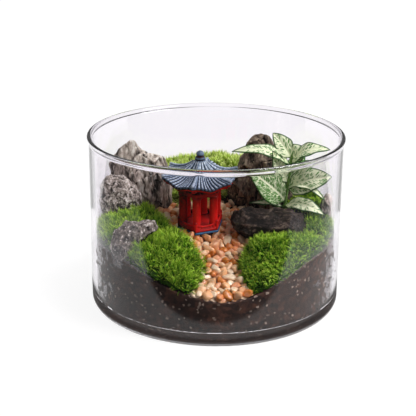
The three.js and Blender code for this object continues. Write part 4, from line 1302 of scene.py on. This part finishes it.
def railing_parts(sizes):
    """The railing: two rings of board, and for each side a post, two rails and balusters."""
    outer, rail_top = sizes.floor_radius / MM - 0.3, sizes.rail_top / MM
    middle = outer - 0.85
    flat, half = middle * math.cos(SIDE / 2), middle * math.sin(SIDE / 2)
    post = [(1.2, DECK_TOP - 0.3), (1.2, rail_top), (0.75, rail_top + 0.15),
            (1.05, rail_top + 0.5), (0.6, rail_top + 0.95)]
    baluster = [(0.75, DECK_TOP), (0.45, DECK_TOP + 0.7), (0.7, DECK_TOP + 1.3),
                (0.5, DECK_TOP + 2.6)]
    steps = 17
    across = np.linspace(-half + 0.6, half - 0.6, steps)
    rise = (np.abs(across) / half) ** 2.4
    # The inner ring of board is painted dark, as painted shade behind the railing.
    parts = [(*hex_frame(outer - 1.0, outer - 1.6, DECK_TOP - 0.2, rail_top - 3.2), 0.12),
             (*hex_frame(outer - 0.1, outer - 1.6, DECK_TOP - 0.2, DECK_TOP + 0.7), 0.6)]
    for index in range(HEX):
        points, faces = lathe(post, segments=16)
        points[:, 0] += middle
        parts.append((on_corner(points, index * SIDE), faces, 0.75))
        # The handrail and the rail under it sweep down from the posts.
        for foot, lift, thick in ((DECK_TOP + 2.1, rail_top - DECK_TOP - 3.0, 0.75),
                                  (DECK_TOP + 0.9, 0.9, 0.4)):
            path = np.stack([np.full(steps, flat), across, foot + lift * rise], 1)
            points, faces = tube(path, thick, sides=8)
            parts.append((on_corner(points, (index + 0.5) * SIDE), faces, 0.78))
        for share in (-0.34, -0.2, 0.2, 0.34):
            points, faces = lathe(baluster, segments=12)
            points += (flat, share * 2 * half, 0)
            parts.append((on_corner(points, (index + 0.5) * SIDE), faces, 0.7))
    return parts


def lintel_parts(sizes):
    """The lintel: four beams on each other, a bracket at each corner and blocks between."""
    lintel, width = sizes.lintel_bottom / MM, sizes.lintel_radius / MM
    # Each beam: how far it stands out, its foot and its top, and how light it is painted; the dark
    # beams are painted shade under the eaves.
    parts = [(*hex_frame(width + out, width - 5.6, lintel + foot, lintel + top, 0.3), light_and_tone)
             for out, foot, top, light_and_tone in ((0, 0, 3.2, 0.42), (-0.9, 3.0, 5.4, 0.2),
                                           (0.3, 5.2, 7.0, 0.35), (1.4, 6.8, 8.4, 0.5))]
    tilt = np.array(Matrix.Rotation(math.radians(-22), 3, "Y"))
    flat = (width + 0.6) * math.cos(SIDE / 2)
    for index in range(HEX):
        points, faces = bar((12, 2, 2.4), (0, 0, 0), 0.4)
        points = points @ tilt.T + (19.2, 0, lintel + 7.7)
        parts.append((on_corner(points, index * SIDE), faces, 1.0))
        for across in np.linspace(-5, 5, 5):
            points, faces = bar((1.6, 1.2, 1.2), (flat, across, lintel + 4.2), 0.2)
            parts.append((on_corner(points, (index + 0.5) * SIDE), faces, 0.3))
    return parts


def cast(name, parts, place, material, slot, node_name):
    """One cast piece from its parts: points, faces and how light they are painted, as painted
    shade.
    """
    shape = Shape()
    for points, faces, light_and_tone in parts:
        points = moved(points, place)
        shape.add(points, faces, proud=light_and_tone * painted_left_shade(points, place))
    stands_for(shape.piece(name, material, smooth=False, recalculate=True), slot, node_name)


class TERRARIUM_OT_pavilion(bpy.types.Operator):
    """Builds the pavilion's plinth, floor, columns, railing, lintel, brackets and eave board"""
    bl_idname = "terrarium.pavilion"
    bl_label = "Pavilion"

    def execute(self, context):
        sizes = context.scene.terrarium_pavilion
        place = pavilion_place(sizes)
        red = paint_with_shade("painted_cast_resin_red", sizes.red_painted_shade, sizes.red,
                           toned(sizes.red, 1.15), "proud")
        blue = paint_with_shade("painted_cast_resin_blue", sizes.blue_deep, sizes.plinth,
                            toned(sizes.plinth, 1.5))
        plinth, deck = sizes.plinth_radius / MM, sizes.floor_radius / MM
        plate = hex_solid([(plinth - 0.4, 0), (plinth, 0.4), (plinth, 1.2), (plinth - 0.4, 1.6)])
        cast("pavilion_plinth_cast", [(*plate, 1.0)], place, blue, "blue_paint",
             "pavilion_plinth")

        points, faces = hex_solid([
            (deck - 0.3, 1.9), (deck, 2.2), (deck, 3.2), (deck - 0.3, DECK_TOP),
            (deck - 1.2, DECK_TOP)])
        # The floor's top is painted lighter than its edges: painted light from above.
        light_and_tone = np.where(points[:, 2] > DECK_TOP - 0.1, 0.9, 0.6)
        cast("pavilion_floor_cast", [(points, faces, light_and_tone)], place, red, "red_paint",
             "pavilion_body")

        columns = Shape()
        for points, faces, light_and_tone in column_parts(sizes, place):
            columns.add(points, faces, proud=light_and_tone)
        columns = columns.piece("pavilion_columns_cast", red, recalculate=True)
        stands_for(columns, "red_paint", "pavilion_body")

        cast("pavilion_railing_cast", railing_parts(sizes), place, red, "red_paint",
             "pavilion_body")
        cast("pavilion_lintel_cast", lintel_parts(sizes), place, red, "red_paint",
             "pavilion_body")
        lower = [roof_ring(sizes, share, 3.2, 1.4, 12)[0] for share in (0.4, 0.6, 0.8, 1)]
        upper = [roof_ring(sizes, share, 1.9, 1.4, 12)[0] for share in (1, 0.8, 0.6, 0.4)]
        cast("pavilion_eave_board", [(*skin([*lower, *upper]), 1.0)], place, red, "red_paint",
             "pavilion_body")
        return {"FINISHED"}


# ---------------------------------------------------------------- nerve plant

# The stem's way up, in millimetres.
STEM = [(49, 8, 50), (50, 8, 66), (52, 8, 81), (53, 8, 94), (54, 9, 106)]

# Each leaf: the height at which it leaves the stem, its tip and width in millimetres, how far
# it arches as a share of its length, the way it faces, and how green it is, from 0 to 1.
LEAVES = [
    (98, (11, -2, 111), 11, 0.2, (0.1, -0.55, 0.85), 0.5),
    (103.5, (40, 8, 122), 14, 0.05, (0.45, -1, 0.25), 0.48),
    (104, (64, 7, 111), 14, 0.16, (-0.1, -0.9, 0.6), 0.52),
    (99, (80, 0, 112.5), 13, 0.24, (-0.15, -0.5, 0.85), 0.58),
    (84, (39.5, -5, 112.5), 12, -0.04, (0.5, -0.8, 0.2), 0.4),
    (71, (23, -12, 100), 22, 0.05, (0.25, -0.85, 0.4), 0.88),
    (80, (82.3, -7, 94), 20, 0.12, (-0.2, -0.75, 0.6), 0.62),
    (79, (77, -13, 79), 8, 0.22, (0, -0.3, 1), 0.4),
    (67, (77, -13, 68), 13, 0.16, (0, -0.5, 0.8), 0.55),
    (66, (24, 3, 70.5), 5, 0.08, (0, -0.5, 0.8), 0.6),
    (86, (70, 17, 99), 14, 0.1, (-0.4, -0.7, 0.6), 0.9),
    (92, (64, 24, 101), 12, 0.15, (0.3, 0.3, 0.9), 0.9),
]


def on_stem(z):
    """The middle of the stem at one height."""
    return np.array([np.interp(z, [p[2] for p in STEM], [p[k] for p in STEM]) for k in range(3)])


def leaf_blade(start, tip, width, arch, face, thickness, seed):
    """One leaf: a bowed midrib, a shallow fold, quilting between the veins, a waved edge."""
    root, tip = on_stem(start), np.array(tip, float)
    reach = np.linalg.norm(tip - root)
    along = (tip - root) / reach
    side = np.cross(face, along)
    side /= np.linalg.norm(side)
    out = np.cross(along, side)
    random = np.random.default_rng(seed)
    phase = random.uniform(0, 6)
    # t runs from the foot of the leaf to its tip, and s from one edge to the other.
    t = np.linspace(0.0, 1.0, 49)[:, None]
    s = np.linspace(-1, 1, 21)[None]
    outline = np.sin(math.pi * np.clip(t, 0.001, 0.999) ** 0.82) ** 0.75
    stalk = 0.7 / (width / 2)
    outline = np.maximum(outline * np.clip(t / 0.16, 0, 1) ** 0.5, stalk * (1 - t))
    half = width / 2 * outline
    bow = arch * reach * np.sin(math.pi * t)
    # In millimetres: an edge waved by 0.7, quilting 0.22 high between side veins 3.1 apart,
    # and a midrib sunk by 0.35.
    wave = 0.7 * np.abs(s) ** 2 * np.sin(16 * t + phase + 1.3 * np.sign(s))
    fold = 0.25 * half * (np.abs(s) - 0.5 * s * s)
    slant = reach * t - VEIN_SLANT * np.abs(half * s)
    quilt = 0.22 * np.abs(np.sin(math.pi * slant / 3.1)) * np.sin(math.pi * np.abs(s)) * outline
    rib = -0.35 * np.exp(-(half * s / 0.6) ** 2)
    lift = bow + wave * outline + fold + quilt + rib
    middle = (root + along * (reach * t)[..., None] + side * (half * s)[..., None]
              + out * lift[..., None])
    to_edge = half * (1 - np.abs(s))
    place = np.stack(np.broadcast_arrays(reach * t, half * s, to_edge), -1)
    top = middle + out * thickness / 2
    under = middle - out * thickness / 2
    rings = np.concatenate([top, under[:, ::-1]], 1)
    places = np.concatenate([place, place[:, ::-1]], 1).reshape(-1, 3)
    points, faces = skin(rings)
    return points, faces, np.concatenate([places, places[:1], places[-1:]])


class TERRARIUM_OT_plant(bpy.types.Operator):
    """Grows the nerve plant: its stem and its netted leaves"""
    bl_idname = "terrarium.plant"
    bl_label = "Nerve plant"

    def execute(self, context):
        sizes = context.scene.terrarium_plant
        shape = Shape()
        apart = 9.7  # millimetres between the vein nets of two leaves, so that none is alike
        for index, (*form, green) in enumerate(LEAVES):
            points, faces, places = leaf_blade(*form, sizes.thickness / MM, seed=70 + index)
            shape.add(inside_glass(points), faces, blade_place=places + (apart * index, 0, 0),
                      blade_green=green)
        leaves = shape.piece("nerve_plant_leaves", nerve_leaf(sizes), recalculate=True)
        stands_for(leaves, "leaf", "nerve_plant")

        # The stem thins upwards and swells where a leaf leaves it.
        heights = np.linspace(STEM[0][2], STEM[-1][2], 60)
        path = np.array([on_stem(z) for z in heights])
        swell = sum(0.21 * np.exp(-(heights - leaf[0]) ** 2) for leaf in LEAVES)
        radii = sizes.stem / MM * np.linspace(1.0, 0.72, 60) + swell
        stem = Shape().add(*tube(path, radii, sides=16)).piece(
            "nerve_plant_stem", green_stalk(sizes), recalculate=True)
        stands_for(stem, "leaf", "nerve_plant")
        return {"FINISHED"}


# ---------------------------------------------------------------- stage


def aim(obj, target):
    """Turns a lamp towards a place."""
    obj.rotation_euler = (Vector(target) - obj.location).to_track_quat("-Z", "Y").to_euler()


def main_light(strength, width, place):
    """A wide soft light, so far away that it lights the whole floor alike."""
    lamp = bpy.data.lights.new("main_soft_light", "SUN")
    lamp.energy = strength
    lamp.angle = width
    obj = bpy.data.objects.new("main_soft_light", lamp)
    obj.location = place
    bpy.context.scene.collection.objects.link(obj)
    aim(obj, (0, 0, 0.06))


def surroundings(sky, room):
    """White overhead and all round; below the horizon only the dim room that glass mirrors."""
    world = bpy.data.worlds.new("white_surroundings")
    bpy.context.scene.world = world
    world.use_nodes = True
    tree = world.node_tree
    way = node(tree, "ShaderNodeTexCoord").outputs["Generated"]
    parts = node(tree, "ShaderNodeSeparateXYZ", {"Vector": way})
    bright = node(tree, "ShaderNodeMapRange", {
        "Value": parts.outputs["Z"], "From Min": -0.02, "From Max": 0.06,
        "To Min": room, "To Max": sky})
    background = tree.nodes["Background"]
    background.inputs["Color"].default_value = (1, 1, 1, 1)
    tree.links.new(bright.outputs[0], background.inputs["Strength"])


class TERRARIUM_OT_stage(bpy.types.Operator):
    """Sets the pale floor, the soft lights, the surroundings and the camera"""
    bl_idname = "terrarium.stage"
    bl_label = "Stage"

    def execute(self, context):
        sizes = context.scene.terrarium_stage
        width = sizes.floor / MM / 2
        back = sizes.mirrored_back / MM
        drop = -0.2  # the bowl's base never quite touches, so no face lies in another
        acrylic = opal_acrylic("opal_acrylic_backlit", sizes, sizes.glow)
        # Two sheets meet behind the bowl. The front one only shows to the camera.
        for name, near, far in (("floor_behind", back, width), ("floor_front", -width, back)):
            sheet = Shape().add([(-width, near, drop), (width, near, drop), (width, far, drop),
                                 (-width, far, drop)], [[(0, 1, 2, 3)]], lit=1.0)
            sheet = sheet.piece(name, acrylic, smooth=False)
            mirrored = name == "floor_behind"
            sheet.visible_glossy = sheet.visible_diffuse = sheet.visible_transmission = mirrored

        # What lights the bowl from below and shows in its glass is a lit sheet that ends a
        # little in front of it, dark in the bowl's own shade, as the photograph's haze says.
        front, side = sizes.mirrored_front / MM, sizes.mirrored_side / MM
        inner, outer = sizes.shade_inner / MM, sizes.shade_outer / MM
        cell, side_blur, front_blur, shade = 4.0, 60, 3, 0.85
        across = np.arange(-side - side_blur, side + side_blur + 1, cell)
        along = np.arange(-front - 8, back + 3, cell)
        x, y = (grid.ravel() for grid in np.meshgrid(across, along))
        # A painted shadow: the sheet's glow is darkened in a ring round the bowl.
        from_ring = np.abs(np.hypot(x, y) - (inner + outer) / 2) / (outer - inner)
        lit = (np.clip((side + side_blur - np.abs(x)) / (2 * side_blur), 0, 1)
               * np.clip((front + front_blur + y) / (2 * front_blur), 0, 1)
               * (1 - shade * np.clip(3 - from_ring * 6, 0, 1)))
        start = (np.arange(len(along) - 1)[:, None] * len(across)
                 + np.arange(len(across) - 1)).ravel()
        quads = start[:, None] + (0, 1, len(across) + 1, len(across))
        sheet = Shape().add(np.stack([x, y, np.full(len(x), drop - 0.1)], 1), [quads], lit=lit)
        sheet = sheet.piece("floor_mirrored", opal_acrylic(
            "opal_acrylic_backlit_small", sizes, sizes.mirrored_glow), smooth=False)
        sheet.visible_camera = False

        main_light(sizes.key, sizes.key_width, (0.7, -0.22, 0.9))
        surroundings(sizes.sky, sizes.room)
        context.scene.view_settings.view_transform = "Standard"

        # The view of the photograph: distance, height, pitch and roll fitted to the rim and base.
        camera = bpy.data.cameras.new("photo_camera")
        camera.lens = 95.0
        camera.sensor_width = 36.0
        camera.shift_x = -0.018
        camera.clip_start = 0.02
        camera.clip_end = 30
        pitch, roll = math.radians(19.07), math.radians(0.61)
        stand = (0, -0.7413, 0.3245)
        ahead = Vector((0, math.cos(pitch), -math.sin(pitch)))
        up = Vector((0, math.sin(pitch), math.cos(pitch)))
        right = Vector((1, 0, 0))
        axes = Matrix((math.cos(roll) * right + math.sin(roll) * up,
                       -math.sin(roll) * right + math.cos(roll) * up, -ahead)).transposed()
        eye = bpy.data.objects.new("photo_camera", camera)
        eye.matrix_world = Matrix.Translation(stand) @ axes.to_4x4()
        context.scene.collection.objects.link(eye)
        context.scene.camera = eye
        return {"FINISHED"}


# ---------------------------------------------------------------- add-on

SETTINGS = {
    "terrarium_bowl": BowlSettings,
    "terrarium_soil": SoilSettings,
    "terrarium_gravel": GravelSettings,
    "terrarium_moss": MossSettings,
    "terrarium_stones": StoneSettings,
    "terrarium_pavilion": PavilionSettings,
    "terrarium_plant": PlantSettings,
    "terrarium_stage": StageSettings,
}
OPERATORS = [
    TERRARIUM_OT_stage, TERRARIUM_OT_bowl, TERRARIUM_OT_soil, TERRARIUM_OT_gravel,
    TERRARIUM_OT_moss, TERRARIUM_OT_stones, TERRARIUM_OT_pavilion, TERRARIUM_OT_roof,
    TERRARIUM_OT_plant,
]


class TERRARIUM_PT_panel(bpy.types.Panel):
    """Lists the pieces of the terrarium with their sizes and colours"""
    bl_idname = "TERRARIUM_PT_panel"
    bl_label = "Terrarium"
    bl_space_type = "VIEW_3D"
    bl_region_type = "UI"
    bl_category = "Terrarium"

    def draw(self, context):
        for operator in OPERATORS:
            self.layout.operator(operator.bl_idname)
        for name, group in SETTINGS.items():
            box = self.layout.box()
            box.label(text=name.replace("terrarium_", "").capitalize())
            for key in group.__annotations__:
                box.prop(getattr(context.scene, name), key)


CLASSES = [*SETTINGS.values(), *OPERATORS, TERRARIUM_PT_panel]


def register():
    for one in CLASSES:
        bpy.utils.register_class(one)
    for name, group in SETTINGS.items():
        setattr(bpy.types.Scene, name, bpy.props.PointerProperty(type=group))


def unregister():
    for name in SETTINGS:
        delattr(bpy.types.Scene, name)
    for one in reversed(CLASSES):
        bpy.utils.unregister_class(one)


def main():
    register()
    bpy.ops.terrarium.stage()
    bpy.ops.terrarium.bowl()
    bpy.ops.terrarium.soil()
    bpy.ops.terrarium.gravel()
    bpy.ops.terrarium.moss()
    bpy.ops.terrarium.stones()
    bpy.ops.terrarium.pavilion()
    bpy.ops.terrarium.roof()
    bpy.ops.terrarium.plant()


if __name__ == "__main__":
    main()
